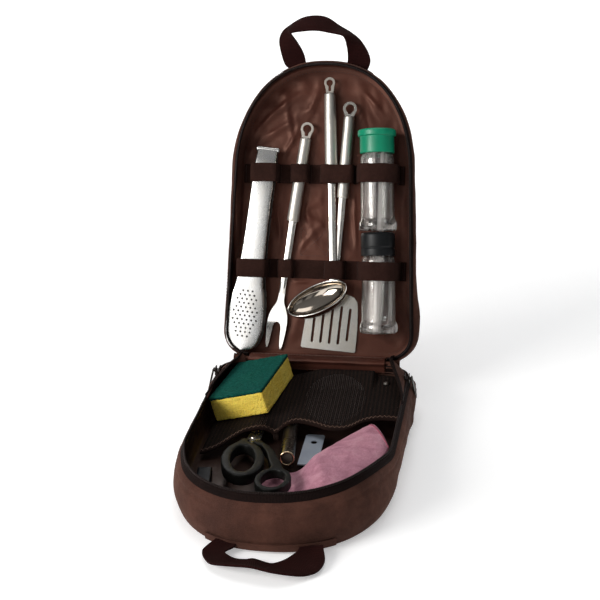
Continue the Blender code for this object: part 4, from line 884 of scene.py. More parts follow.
# painted shade: the tub lining uses the darker satin copy
ob = skin("tub_lining", tub_world(close_ring(P)), 0.0004, M_SATIN_TUB_SHADE, True, rim_uv(len(P), P[:, 0]), side=-1)
stand_for(ob, "base", "base_lining", slot="satin_lining")
give("base_pad", M_PAD)
give("lid_pad", M_PAD)

TAPE = spline([(-0.0088, 0.0014), (-0.0070, 0.0024), (-0.0052, 0.0038), (-0.0036, 0.0042), (-0.0030, 0.0047),
               (-0.0036, 0.0053), (-0.0054, 0.0053), (-0.0074, 0.0038), (-0.0090, 0.0029)], 22, closed=True)


def rim_band(loop, to_world, base_h):
    """A band swept along the zip's run."""
    xs = OUT[:ZIP_N]
    rings = []
    for i in range(ZIP_N):
        x = xs[i, 0] + INWARD[i, 0] * loop[:, 1]
        s = xs[i, 1] + INWARD[i, 1] * loop[:, 1]
        rings.append(np.stack([x, s, base_h + loop[:, 0]], -1))
    return to_world(np.array(rings))


def zip_coil(name, to_world, base_h, up):
    off = 0.0048
    p = np.stack([OUT[:ZIP_N, 0] + INWARD[:ZIP_N, 0] * off, OUT[:ZIP_N, 1] + INWARD[:ZIP_N, 1] * off,
                  np.full(ZIP_N, base_h - 0.0021)], -1)
    w = np.stack([INWARD[:ZIP_N, 0], INWARD[:ZIP_N, 1], np.zeros(ZIP_N)], -1)
    world = to_world(p)
    across = to_world(p + w * 0.001) - world
    ups = np.tile(np.array(up, float), (ZIP_N, 1))
    teeth = beads(name + "_teeth", world, across, ups, 0.00135, (0.00050, 0.00108, 0.00118), M_COIL)
    core_loop = np.array([(-0.0036, 0.0044), (-0.0014, 0.0044), (-0.0014, 0.0052), (-0.0036, 0.0052)])
    core = tube_grid(name + "_core", rim_band(core_loop, to_world, base_h), M_TAPE)
    return joined(name, [teeth, core])


for tag, to_world, h, up in (("tub", tub_world, RIM_Z, (0, 0, 1)),
                             ("lid", lid_world, 0.0, LID_R[:, 2])):
    body = "base" if tag == "tub" else "lid"
    node = "base" if tag == "tub" else "lid"
    ob = tube_grid(tag + "_zip_tape", rim_band(TAPE, to_world, h), M_TAPE)
    stand_for(ob, body, node + "_zip_tape", slot="zip_tape")
    ob = zip_coil(tag + "_zip_coil", to_world, h, up)
    stand_for(ob, body, node + "_zip_coil", slot="zip_coil")


def outline_path(off, h, to_world, first=0, last=None, lift=0.0):
    """Points, across and out vectors along the outline at one height."""
    idx = np.arange(first, last if last is not None else ZIP_N)
    off = np.broadcast_to(off, idx.shape)
    p = np.stack([OUT[idx, 0] + INWARD[idx, 0] * off, OUT[idx, 1] + INWARD[idx, 1] * off,
                  np.broadcast_to(h, idx.shape)], -1)
    out = -np.stack([INWARD[idx, 0], INWARD[idx, 1], np.zeros(len(idx))], -1)
    world = to_world(p)
    o = to_world(p + out * 0.001) - world
    up = to_world(p + np.array([0, 0, 0.001])) - world
    return world, up, o


w, up, o = outline_path(-0.0002, 0.0300, tub_world)
rim_seam = beads("tub_rim_stitches", w, up, o, 0.0034, (0.00115, 0.00024, 0.00030), M_STITCH)
stand_for(rim_seam, "base")
w, up, o = outline_path(-0.0001, -0.0125, lid_world)
seam = beads("lid_rim_stitches", w, up, o, 0.0034, (0.00115, 0.00024, 0.00030), M_STITCH)
stand_for(seam, "lid")

# ---------------------------------------------------------------- lid half
lwall = section([(-0.0088, 0.0015), (-0.0115, -0.0003), (-0.0200, -0.0010), (-0.0285, 0.0002),
                 (-0.0311, 0.0022), (-0.0319, 0.0052)], 26)
lwall[:, 1] -= 0.0005 * np.exp(-((lwall[:, 0] + 0.0302) / 0.0009) ** 2)
P = ring_rows(lwall, -1.0, 0.032)
F = floor_rows(P[-1], 30, -0.0319)
q = np.stack([F[..., 0], F[..., 1], np.zeros(F.shape[:2])], -1)
pull = step(0, 5, np.arange(30))[:, None]
F[..., 2] += pull * (0.0009 * fbm(q, 17, 6.0, 3) + 0.0004 * fbm(q, 55, 2.0, 2)) + 0.0002
P = np.concatenate([P, F], 0)
P[..., 2] = np.minimum(P[..., 2], 1.0)
ob = skin("lid_canvas", lid_world(close_ring(P)), 0.0010, M_CANVAS, True, rim_uv(len(P), P[:, 0]), side=1)
stand_for(ob, "lid", "lid_shell", slot="canvas")

# what stands in front of the lid's lining: (x0, s0, x1, s1, radius)
KEEP = [(-0.0613, 0.2270, -0.0770, 0.0760, 0.0135), (-0.0770, 0.0700, -0.0830, 0.0120, 0.0195),
        (-0.0185, 0.2573, -0.0430, 0.0700, 0.0085), (-0.0430, 0.0660, -0.0515, 0.0060, 0.0130),
        (0.0035, 0.3060, 0.0150, 0.0900, 0.0085), (0.0270, 0.2800, 0.0155, 0.0760, 0.0085),
        (0.0130, 0.0640, 0.0130, 0.0100, 0.0320), (0.0580, 0.2480, 0.0660, 0.0310, 0.0225)]


def keep_clear(x, s):
    out = np.full(x.shape, 1.0)
    for x0, s0, x1, s1, r in KEEP:
        dx, ds = x1 - x0, s1 - s0
        t = np.clip(((x - x0) * dx + (s - s0) * ds) / (dx * dx + ds * ds), 0, 1)
        dist = np.hypot(x - x0 - t * dx, s - s0 - t * ds)
        out = np.minimum(out, step(r, r + 0.006, dist))
    for s0 in (0.2015, 0.0975):
        out = np.minimum(out, step(0.0105, 0.0150, np.abs(s - s0)))
    return out


def ridge(x, s, x0, s0, x1, s1, w, a, bow=0.0):
    """One fold of the satin between two places, highest at its middle."""
    dx, ds = x1 - x0, s1 - s0
    ln = math.hypot(dx, ds)
    t = ((x - x0) * dx + (s - s0) * ds) / ln ** 2
    d = ((x - x0) * ds - (s - s0) * dx) / ln
    d = d + bow * (4 * t * (1 - t))
    body = np.clip(np.sin(math.pi * np.clip(t, 0, 1)), 0, 1) ** 0.7
    ww = w * (0.6 + 0.8 * np.clip(t, 0, 1))
    return a * body * (np.exp(-(d / ww) ** 2) - 0.45 * np.exp(-((d - 2.0 * ww) / (1.2 * ww)) ** 2))


def satin_relief(x, s):
    q = np.stack([x, s, np.zeros_like(x)], -1)
    r = np.zeros_like(x)
    # long slanting folds at the upper left, drawn from the arch to the straps
    for args in ((-0.080, 0.243, -0.022, 0.292, 0.0034, 0.0020, 0.004), (-0.086, 0.222, -0.030, 0.262, 0.0030, 0.0018, 0.003),
                 (-0.052, 0.214, -0.006, 0.300, 0.0032, 0.0019, -0.003), (-0.034, 0.232, -0.046, 0.296, 0.0026, 0.0013, 0.002),
                 (-0.018, 0.262, 0.000, 0.316, 0.0022, 0.0013, 0.001), (0.014, 0.300, 0.010, 0.317, 0.0016, 0.0014, 0.0),
                 (0.040, 0.292, 0.062, 0.262, 0.0030, 0.0014, 0.002), (0.046, 0.244, 0.034, 0.288, 0.0028, 0.0013, 0.002),
                 (0.078, 0.240, 0.084, 0.180, 0.0022, 0.0011, 0.001), (-0.030, 0.188, -0.008, 0.118, 0.0034, 0.0010, 0.003),
                 (-0.034, 0.168, 0.010, 0.142, 0.0036, 0.0010, -0.003), (-0.036, 0.150, 0.004, 0.176, 0.0032, 0.0009, 0.003),
                 (0.026, 0.180, 0.040, 0.120, 0.0028, 0.0016, 0.002), (0.032, 0.186, 0.042, 0.146, 0.0022, 0.0012, -0.002),
                 (-0.028, 0.116, 0.002, 0.152, 0.0030, 0.0009, 0.001), (-0.032, 0.082, -0.004, 0.086, 0.0024, 0.0012, 0.001),
                 (-0.020, 0.060, -0.036, 0.016, 0.0026, 0.0013, 0.001), (0.040, 0.080, 0.036, 0.030, 0.0026, 0.0012, 0.001),
                 (0.050, 0.024, 0.086, 0.036, 0.0026, 0.0012, 0.001), (0.082, 0.084, 0.090, 0.030, 0.0022, 0.0012, 0.001),
                 (-0.058, 0.188, -0.044, 0.120, 0.0026, 0.0015, 0.001), (-0.090, 0.200, -0.092, 0.120, 0.0020, 0.0010, 0.001)):
        r = r + ridge(x, s, *args)
    r = 1.10 * r + 0.00038 * fbm(q, 34, 5.3, 3) + 0.00022 * fbm(q, 120, 9.1, 2)
    return r


llin = section([(-0.0093, 0.0036), (-0.0115, 0.0018), (-0.0200, 0.0011), (-0.0255, 0.0032),
                (-0.0270, 0.0070)], 22)
P = ring_rows(llin, -1.0, 0.032)
NF = 110
F = floor_rows(P[-1], NF, LID_FLOOR - 0.0003, (0.0, 0.150))
x, s = F[..., 0], F[..., 1]
relief = satin_relief(x, s)
free = keep_clear(x, s)
edge = step(0, 7, np.arange(NF))[:, None]
# puckers where the lining is gathered into the seam of the arch
ring_f = np.linspace(0, 1, NF)[:, None]
pucker = 0.0007 * np.sin(RUN[:-1][None, :] / 0.0042 + 2.4 * fbm(np.stack([x, s, 0 * x], -1), 20, 2.0, 1)) \
    * np.exp(-((ring_f - 0.06) / 0.07) ** 2)
relief = relief + pucker
F[..., 2] += edge * np.where(relief > 0, relief * free, np.maximum(relief, -0.0006) - 0.0) - 0.0002 * (1 - free)
P = np.concatenate([P, F], 0)
ob = skin("lid_lining_satin", lid_world(close_ring(P)), 0.0003, M_SATIN, True, rim_uv(len(P), P[:, 0]), side=1)
# painted shade: the lining's side-wall faces get the darker satin copy
ob.data.materials.append(M_SATIN_WALL_SHADE)
for f in ob.data.polygons:
    q = (np.array(f.center) - LID_T) @ LID_R
    if q[2] > LID_FLOOR + 0.0035 and q[1] > 0.030:
        f.material_index = 1
stand_for(ob, "lid", "lid_lining", slot="satin_lining")

# seam that holds the lining inside the rim, and the box and cross of the patch
w, up, o = outline_path(0.0082, LID_FLOOR + 0.0001, lid_world)
seam = beads("lid_lining_stitches", w, o, up, 0.0036, (0.0012, 0.00022, 0.00024), M_STITCH_DARK)
stand_for(seam, "lid")


def stitched_lines(name, lines, h, to_world, up, material, pitch=0.0028, r=0.00022):
    parts = []
    for k, (a, b) in enumerate(lines):
        p = np.linspace(a, b, 8)
        p = np.concatenate([p, np.full((8, 1), h)], 1)
        w = to_world(p)
        t = w[-1] - w[0]
        across = np.tile(np.cross(t, up), (8, 1))
        parts.append(beads("%s_%d" % (name, k), w, across, np.tile(up, (8, 1)), pitch, (pitch * 0.36, r, r * 1.1),
                           material))
    return joined(name, parts)


LUP = LID_R[:, 2]
PX, PS, PH = -0.009, 0.1275, 0.0150
box_x = [((PX - PH, PS - PH), (PX + PH, PS - PH)), ((PX + PH, PS - PH), (PX + PH, PS + PH)),
         ((PX + PH, PS + PH), (PX - PH, PS + PH)), ((PX - PH, PS + PH), (PX - PH, PS - PH)),
         ((PX - PH, PS - PH), (PX + PH, PS + PH)), ((PX + PH, PS - PH), (PX - PH, PS + PH))]
ob = stitched_lines("lining_box_stitch", box_x, LID_FLOOR + 0.0003, lid_world, LUP, M_STITCH)
stand_for(ob, "lid")

# patch of webbing on the outside of the lid
g = np.linspace(-1, 1, 15)
gx, gs = np.meshgrid(g, g)
puff = 0.00055 * (1 - gx ** 4) * (1 - gs ** 4)
P = np.stack([PX + 0.0170 * gx, PS + 0.0170 * gs, -0.0323 - 0.0006 - puff], -1)
a = skin("patch_body", lid_world(P), 0.0010, M_WEB, side=-1)
b = stitched_lines("patch_stitch", box_x, -0.0335, lid_world, -LUP, M_STITCH)
stand_for(joined("lid_patch", [a, b]), "lid", "back_patch", slot="webbing")

# ------------------------------------------------------------ hinge fabric
HX = 0.0705


def corner_s(x):
    """How far round the rear corner the outline is at a given |x|."""
    lo, hi = 0.0, CORNER
    if abs(x) <= half_width(0.0):
        return 0.0
    for _ in range(40):
        m = 0.5 * (lo + hi)
        lo, hi = (m, hi) if half_width(m) < abs(x) else (lo, m)
    return lo


def hinge_strip(name, reach, base_off, lid_off, base_from, lid_to, slack, material, thick, side):
    """Fabric from the tub's rear wall over the hinge line into the lid.  Past
    the straight part it follows the rounded corner as a small soft web."""
    half = np.concatenate([np.linspace(0, 0.0740, 30), 0.0755 + (reach - 0.0755) * (1 - (1 - np.linspace(0.05, 1, 14)) ** 1.6)]) \
        if reach > 0.0755 else np.linspace(0, reach, 30)
    xs = np.concatenate([-half[::-1], half[1:]])
    N = 24
    P = np.zeros((N, len(xs), 3))
    for i, x in enumerate(xs):
        s = corner_s(x)
        r = s + slack
        col = []
        for z in base_from:
            col.append((HINGE_Y - s - base_off, z))
        for f in np.linspace(0.10, 0.90, 8):
            a = math.pi * (1 - f) + rad(74) * f
            col.append((HINGE_Y - base_off * (1 - f) + r * math.cos(a), RIM_Z - 0.001 + r * math.sin(a) * 0.92))
        for d in lid_to:
            q = lid_world(np.array([0.0, s + lid_off, d]))
            col.append((q[1], q[2]))
        c = spline(col, N)
        P[:, i, 0], P[:, i, 1], P[:, i, 2] = x, c[:, 0], c[:, 1]
    q = np.stack([P[..., 0] * 3, P[..., 2], P[..., 1]], -1)
    P[..., 2] += 0.0005 * fbm(q, 22, 7.0, 2) * np.sin(np.linspace(0, math.pi, N))[:, None]
    return skin(name, P, thick, material, side=side)


inner = hinge_strip("hinge_satin", 0.0735, 0.0024, 0.0040, (0.0335, 0.0375, 0.0410), (-0.0060, -0.0100, -0.0160), 0.0028,
                    M_SATIN, 0.0005, 1)
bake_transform(inner)
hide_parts("hinge_fabric")
outer = hinge_strip("hinge_canvas", 0.0900, -0.0012, -0.0012, (0.0290, 0.0340, 0.0390), (-0.0075, -0.0110, -0.0150), 0.0016,
                    M_CANVAS, 0.0008, 1)
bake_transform(outer)
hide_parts("hinge_fabric")


def gusset(name, sgn, top_line, lid_end):
    """Fabric web from the tub's inner rim up to the lid's corner, its free
    edge bound with tape."""
    n = 46
    k = int(np.searchsorted(OUT[:40, 1], 0.103))
    low = np.array([(OUT[i, 0] + INWARD[i, 0] * 0.0062, OUT[i, 1] + INWARD[i, 1] * 0.0062, RIM_Z - 0.0030)
                    for i in range(k, -1, -1)])
    low = spline(base_world(low), n)
    top = spline(list(top_line) + [tuple(lid_world(np.array(lid_end)))], n)
    v = np.linspace(0, 1, 15)[:, None, None]
    P = low[None] * (1 - v) + top[None] * v
    t = np.linspace(0, 1, n)
    q = np.stack([P[..., 0] * 0.5, P[..., 1], P[..., 2]], -1)
    P[..., 0] += (0.0022 * np.sin(math.pi * v[..., 0]) * np.sin(math.pi * t)[None, :] + 0.0008 * fbm(q, 42, 4.0, 2)
                  * np.sin(math.pi * v[..., 0]))
    P[..., 0] *= sgn
    web = skin(name + "_web", P, 0.0007, M_CANVAS, side=1, crease=None)
    across = P[-1] - P[-5]
    across /= np.linalg.norm(across, axis=1)[:, None]
    along = np.gradient(P[-1], axis=0)
    along /= np.linalg.norm(along, axis=1)[:, None]
    flat = np.cross(along, across)
    flat /= np.linalg.norm(flat, axis=1)[:, None]
    loop = [(0.0027 * np.sign(math.cos(a)) * abs(math.cos(a)) ** 0.6 - 0.0017,
             0.0009 * np.sign(math.sin(a)) * abs(math.sin(a)) ** 0.6) for a in np.linspace(0, 2 * math.pi, 17)[:-1]]
    rings = np.array([[P[-1, i] + across[i] * a + flat[i] * b for a, b in loop] for i in range(n)])
    tape = tube_grid(name + "_tape", rings, M_TAPE)
    for ob in (web, tape):
        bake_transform(ob)
        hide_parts("hinge_fabric")
    return web, tape


gusset("gusset_right", 1, [(0.0985, 0.0580, 0.0425), (0.0955, 0.0780, 0.0455), (0.0912, 0.0980, 0.0490),
                           (0.0862, 0.1180, 0.0515), (0.0822, 0.1360, 0.0528), (0.0803, 0.1500, 0.0528),
                           (0.0806, 0.1600, 0.0516)], (0.0830, 0.0075, -0.0060))
gusset("gusset_left", -1, [(0.0985, 0.0580, 0.0425), (0.0965, 0.0780, 0.0440), (0.0940, 0.0980, 0.0455),
                           (0.0905, 0.1180, 0.0468), (0.0870, 0.1360, 0.0478), (0.0835, 0.1500, 0.0484),
                           (0.0825, 0.1600, 0.0486)], (0.0830, 0.0075, -0.0060))


def lid_yz(s, d):
    q = lid_world(np.array([0.0, s, d]))
    return (q[1], q[2])


p = np.stack([np.linspace(-HX, HX, 40), np.full(40, lid_yz(0.0045, -0.0050)[0]), np.full(40, lid_yz(0.0045, -0.0050)[1])], 1)
seam = beads("hinge_stitches", p, np.tile([0, 0.3, 0.95], (40, 1)), np.tile([0, -0.95, 0.3], (40, 1)), 0.0034,
             (0.00115, 0.00024, 0.00028), M_STITCH)
stand_for(seam, "lid")


# ---------------------------------------------------------- elastic straps
def strap_path(bumps, x_from, x_to):
    path = [(x_from, 0.0), (x_from + 0.003, 0.0)]
    for xc, hw, top, corner in bumps:
        path.append((xc - hw - 0.0020, 0.0))
        if corner:
            half = [(hw + 0.0002, 0.0016), (hw, top - corner), (hw - 0.30 * corner, top - 0.28 * corner),
                    (hw - corner, top), (0.5 * (hw - corner), top + 0.0003)]
        else:
            half = [(hw * math.cos(math.pi * i / 14) ** 0.75, top * math.sin(math.pi * i / 14) ** 0.62)
                    for i in range(1, 7)]
            half = [(hw, 0.0036)] + half
        path += [(xc - u, v) for u, v in half]
        path += [(xc, top + (0.0004 if corner else 0.0))]
        path += [(xc + u, v) for u, v in reversed(half)]
        path.append((xc + hw + 0.0020, 0.0))
    path += [(x_to - 0.003, 0.0), (x_to, 0.0)]
    return path


def lean_x(top, lean, s):
    return top[0] + math.tan(lean) * (top[1] - s)


TONGS_PIN, TONGS_LEAN = (-0.0613, 0.2270, -0.0153), rad(-6.0)
FORK_TOP, FORK_LEAN = (-0.0185, 0.2573, -0.0202), rad(-7.5)
LADLE_TOP, LADLE_LEAN = (0.0035, 0.3060, -0.0195), rad(2.7)
TURNER_TOP, TURNER_LEAN = (0.0270, 0.2800, -0.0205), rad(-3.2)
JAR_LEAN = rad(2.23)


def jar_x(s):
    return 0.0660 - math.tan(JAR_LEAN) * (s - 0.0310)


def pair_x(s):
    return 0.5 * (lean_x(LADLE_TOP, LADLE_LEAN, s) + lean_x(TURNER_TOP, TURNER_LEAN, s)) - 0.0004


STRAPS = {
    "strap_upper": (0.2015, -0.0890, 0.0880, [
        (lean_x(TONGS_PIN, TONGS_LEAN, 0.2015), 0.0136, 0.0228, 0.0030),
        (lean_x(FORK_TOP, FORK_LEAN, 0.2015), 0.0090, 0.0146, 0.0050),
        (pair_x(0.2015), 0.0172, 0.0158, 0.0050), (jar_x(0.2015), 0.0220, 0.0399, 0)]),
    "strap_lower": (0.0975, -0.0938, 0.0925, [
        (lean_x(TONGS_PIN, TONGS_LEAN, 0.0975) - 0.0003, 0.0152, 0.0234, 0.0030),
        (lean_x(FORK_TOP, FORK_LEAN, 0.0975), 0.0072, 0.0100, 0.0025),
        (pair_x(0.0975), 0.0094, 0.0130, 0.0030), (jar_x(0.0975), 0.0220, 0.0399, 0)]),
}
for name, (s_mid, x0, x1, bumps) in STRAPS.items():
    path = spline(strap_path(bumps, x0, x1), 300)
    t = np.gradient(path, axis=0)
    t /= np.linalg.norm(t, axis=1)[:, None]
    nrm = np.stack([-t[:, 1], t[:, 0]], 1)
    v = np.linspace(-1, 1, 13)
    q = np.stack([path[:, 0], path[:, 1], np.full(300, s_mid * 9)], -1)
    waver = 0.0005 * fbm(q, 45, 2.2, 2)
    rise = step(0.001, 0.008, path[:, 1])
    P = np.zeros((13, 300, 3))
    for j, k in enumerate(v):
        bow = -0.00045 * k * k * rise + 0.00012 * np.sin(path[:, 0] * 900) * rise * k
        P[j, :, 0] = path[:, 0] + nrm[:, 0] * (0.0003 + bow)
        P[j, :, 1] = s_mid + k * (0.01025 - 0.0004 * rise) + waver
        P[j, :, 2] = LID_FLOOR + 0.0003 + np.maximum(path[:, 1] + nrm[:, 1] * (0.0003 + bow), 0.0001)
    body = skin(name + "_band", lid_world(P), 0.0009, M_ELASTIC, side=1)
    parts = [body]
    feet = [x0 + 0.0022] + [b[0] + sg * (b[1] + 0.0024) for b in bumps for sg in (-1, 1)] + [x1 - 0.0022]
    for k, fx in enumerate(feet):
        p = np.array([[fx, s_mid + 0.0092 * t_, LID_FLOOR + 0.0015] for t_ in np.linspace(-1, 1, 6)])
        parts.append(beads(name + "_tack%d" % k, lid_world(p), np.tile([1.0, 0, 0], (6, 1)), np.tile(LUP, (6, 1)),
                           0.0021, (0.0008, 0.00026, 0.00028), M_STITCH_DARK))
    stand_for(joined(name + "_elastic", parts), "lid", name, slot="elastic")


# ---------------------------------------------------------------- handles
LID_EDGES = [
    ((-0.0400, 0.3150, -0.0225), (-0.0222, 0.3185, -0.0225)), ((-0.0462, 0.3200, -0.0225), (-0.0233, 0.3226, -0.0225)),
    ((-0.0505, 0.3307, -0.0225), (-0.0257, 0.3318, -0.0225)), ((-0.0548, 0.3461, -0.0269), (-0.0328, 0.3419, -0.0171)),
    ((-0.0525, 0.3580, -0.0305), (-0.0406, 0.3512, -0.0135)), ((-0.0427, 0.3668, -0.0310), (-0.0384, 0.3546, -0.0130)),
    ((-0.0293, 0.3740, -0.0305), (-0.0262, 0.3563, -0.0139)), ((-0.0149, 0.3760, -0.0300), (-0.0121, 0.3569, -0.0142)),
    ((-0.0016, 0.3737, -0.0300), (0.0032, 0.3547, -0.0142)), ((0.0127, 0.3649, -0.0308), (0.0165, 0.3519, -0.0132)),
    ((0.0250, 0.3578, -0.0308), (0.0209, 0.3468, -0.0135)), ((0.0353, 0.3491, -0.0290), (0.0224, 0.3388, -0.0155)),
    ((0.0438, 0.3357, -0.0249), (0.0224, 0.3312, -0.0199)), ((0.0471, 0.3243, -0.0225), (0.0222, 0.3254, -0.0225)),
    ((0.0440, 0.3140, -0.0225), (0.0215, 0.3185, -0.0225))]
BASE_EDGES = [
    ((-0.0413, -0.1564, 0.0070), (-0.0224, -0.1588, 0.0065)), ((-0.0462, -0.1620, 0.0045), (-0.0250, -0.1640, 0.0045)),
    ((-0.0497, -0.1711, 0.0030), (-0.0310, -0.1693, 0.0030)), ((-0.0446, -0.1826, 0.0030), (-0.0270, -0.1754, 0.0030)),
    ((-0.0367, -0.1922, 0.0050), (-0.0203, -0.1786, 0.0022)), ((-0.0204, -0.1995, 0.0090), (-0.0123, -0.1784, 0.0020)),
    ((-0.0040, -0.2030, 0.0110), (-0.0062, -0.1768, 0.0020)), ((0.0115, -0.2060, 0.0100), (0.0077, -0.1818, 0.0020)),
    ((0.0255, -0.2034, 0.0070), (0.0162, -0.1768, 0.0020)), ((0.0370, -0.1965, 0.0030), (0.0215, -0.1700, 0.0020)),
    ((0.0466, -0.1871, 0.0020), (0.0248, -0.1656, 0.0030)), ((0.0503, -0.1722, 0.0030), (0.0271, -0.1628, 0.0045)),
    ((0.0470, -0.1565, 0.0070), (0.0285, -0.1585, 0.0068))]


def strap_between(name, edges, to_world, material, thick=0.0017, stations=110, cup=0.0007):
    """Webbing ruled between an outer and an inner edge line."""
    outer = spline([e[0] for e in edges], stations)
    inner = spline([e[1] for e in edges], stations)
    outer, inner = to_world(outer), to_world(inner)
    v = np.linspace(0, 1, 15)
    t_ = np.gradient(0.5 * (outer + inner), axis=0)
    n = np.cross(t_, outer - inner)
    n /= np.linalg.norm(n, axis=1)[:, None]
    P = outer[None] * (1 - v)[:, None, None] + inner[None] * v[:, None, None]
    selv = 1 - 0.30 * np.exp(-((v - 0.09) / 0.035) ** 2) - 0.30 * np.exp(-((v - 0.91) / 0.035) ** 2)
    P = P + n[None] * ((cup * 4 * v * (1 - v) - 0.0002 * (1 - selv)) - thick / 2)[:, None, None]
    mid = 0.5 * (outer + inner)
    run = np.concatenate([[0], np.cumsum(np.linalg.norm(np.diff(mid, axis=0), axis=1))])
    uv = np.stack(np.meshgrid(run, v * 0.024), -1)
    return skin(name, P, thick, material, uv=uv, side=1)


ob = strap_between("lid_grip_webbing", LID_EDGES, lid_world, M_WEB)
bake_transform(ob)
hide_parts("lid_handle")
ob = strap_between("base_grip_webbing", BASE_EDGES, lambda p: p, M_WEB)
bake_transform(ob)
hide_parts("base_handle")


def arch_s(x):
    v = max(0.0, 1 - (abs(x) / (HALF_BACK - TAPER * 0.31)) ** POWER) ** (1 / POWER)
    return LENGTH - ARCH + ARCH * v


def anchor(name, xs, rows, tilt, to_world, body, node, material=None):
    P = []
    for off, h in rows:
        line = []
        for x in xs:
            s = arch_s(x)
            nx, ns = x / 0.094 * tilt, 1.0
            ln = math.hypot(nx, ns)
            line.append((x + nx / ln * off, s + ns / ln * off, h))
        P.append(line)
    P = to_world(np.array(P))
    a = skin(name + "_strip", P, 0.0011, material or M_WEB, side=1)
    parts = [a]
    nrm = grid_normals(P, False)
    lo, hi = P[1] + nrm[1] * 0.0012, P[-2] + nrm[-2] * 0.0012
    for k, line in enumerate((lo, hi)):
        parts.append(beads(name + "_st%d" % k, line, np.gradient(P, axis=0)[1], nrm[1], 0.0030,
                           (0.0011, 0.00024, 0.00028), M_STITCH))
    ob = joined(name, parts)
    return stand_for(ob, body, node, slot="webbing")


anchor("lid_anchor_strip", np.linspace(-0.048, 0.050, 40),
       [(0.0016, -0.0285), (0.0018, -0.0270), (0.0020, -0.0225), (0.0018, -0.0180), (0.0016, -0.0165)],
       0.32, lid_world, "lid", "lid_handle_anchor")
anchor("base_anchor_strip", np.linspace(-0.052, 0.056, 40),
       [(0.0033, 0.0098), (0.0032, 0.0088), (0.0029, 0.0066), (0.0022, 0.0042), (0.0018, 0.0030)],
       0.36, base_world, "base", "base_handle_anchor", M_CANVAS)


# --------------------------------------------------------------- utensils
def hung(top, lean):
    return LID @ Matrix.Translation(top) @ Matrix.Rotation(lean, 4, "Z")


def hook(name, length, width, place, material, wire=0.0024):
    """The flat hanging ring at a handle's end, with a keyhole opening."""
    r = width / 2
    c = -r
    foot = 0.62 * r
    outer = [(r * math.cos(a), c + r * math.sin(a)) for a in np.linspace(-0.55, math.pi + 0.55, 44)]
    outer += [(-foot, -length + 0.0004), (-foot + 0.0004, -length), (foot - 0.0004, -length), (foot, -length + 0.0004)]
    ri = r - wire
    neck = 0.42 * ri
    low = -length + 0.0030
    inner = [(ri * math.cos(a), c + ri * math.sin(a)) for a in np.linspace(-0.95, math.pi + 0.95, 34)]
    inner += [(-neck, c - ri * 1.15), (-neck * 1.05, low + 0.0012), (-neck * 0.7, low), (neck * 0.7, low),
              (neck * 1.05, low + 0.0012), (neck, c - ri * 1.15)]
    return plate(name, outer, [inner], 0.0024, lambda u, v, w: (u, v, w - 0.0012), place, material, 0.0005)


def tube(name, top, bottom, r0, r1, place, material):
    n = 30
    prof = [(0.0, top), (r0 * 0.55, top)]
    prof += [(r0 - 0.0016 + 0.0016 * math.sin(a), top - 0.0018 * (1 - math.cos(a)))
             for a in np.linspace(0, math.pi / 2, 7)]
    for k in range(1, n):
        f = k / n
        prof.append((r0 + (r1 - r0) * f + 0.00015 * math.sin(math.pi * f), top - 0.0018 + (bottom - top + 0.0026) * f))
    prof += [(r1, bottom + 0.0008), (r1 - 0.0002, bottom + 0.0002), (r1 - 0.0010, bottom), (0.0, bottom)]
    ob = lathe(name, prof, material, place, 48, 35)
    return ob


def bar(name, stations, place, material, count=40, power=0.55, sides=20):
    """A rounded flat bar from (v, u, w, half width, half thickness)."""
    st = np.array(stations, float)
    v = np.linspace(st[0, 0], st[-1, 0], count)
    cols = [table(np.stack([st[:, 0], st[:, k]], 1), v) for k in range(1, 5)]
    a = np.linspace(0, 2 * math.pi, sides, endpoint=False)
    c = np.sign(np.cos(a)) * np.abs(np.cos(a)) ** power
    d = np.sign(np.sin(a)) * np.abs(np.sin(a)) ** power
    R = np.zeros((count, sides, 3))
    R[..., 0] = cols[0][:, None] + cols[2][:, None] * c
    R[..., 1] = v[:, None]
    R[..., 2] = cols[1][:, None] + cols[3][:, None] * d
    R = R @ np.array(place.to_3x3()).T + np.array(place.translation)
    return tube_grid(name, R, material, crease=60)


# tongs
tongs_at = hung(TONGS_PIN, TONGS_LEAN)
ARM_WIDTH = [(-0.0010, 0.0098), (-0.012, 0.0104), (-0.060, 0.0108), (-0.120, 0.0124), (-0.147, 0.0142),
             (-0.160, 0.0168), (-0.178, 0.0190), (-0.194, 0.0191), (-0.206, 0.0176), (-0.2145, 0.0140),
             (-0.2185, 0.0092), (-0.2200, 0.0040)]
ARM_RISE = [(-0.0010, 0.0028), (-0.012, 0.0062), (-0.030, 0.0084), (-0.120, 0.0096), (-0.150, 0.0100),
            (-0.2200, 0.0094)]
ARM_FLANGE = [(-0.0010, 0.0012), (-0.020, 0.0034), (-0.110, 0.0036), (-0.150, 0.0021), (-0.200, 0.0017),
              (-0.2200, 0.0010)]
HOLES = [(u, v) for row, (v, n) in enumerate([(-0.1555, 3), (-0.1600, 4), (-0.1645, 5), (-0.1690, 4), (-0.1735, 5),
                                              (-0.1780, 6), (-0.1825, 5), (-0.1870, 6), (-0.1915, 5), (-0.1960, 4),
                                              (-0.2005, 4), (-0.2050, 3)])
         for u in [(i - (n - 1) / 2) * 0.0052 for i in range(n)]]


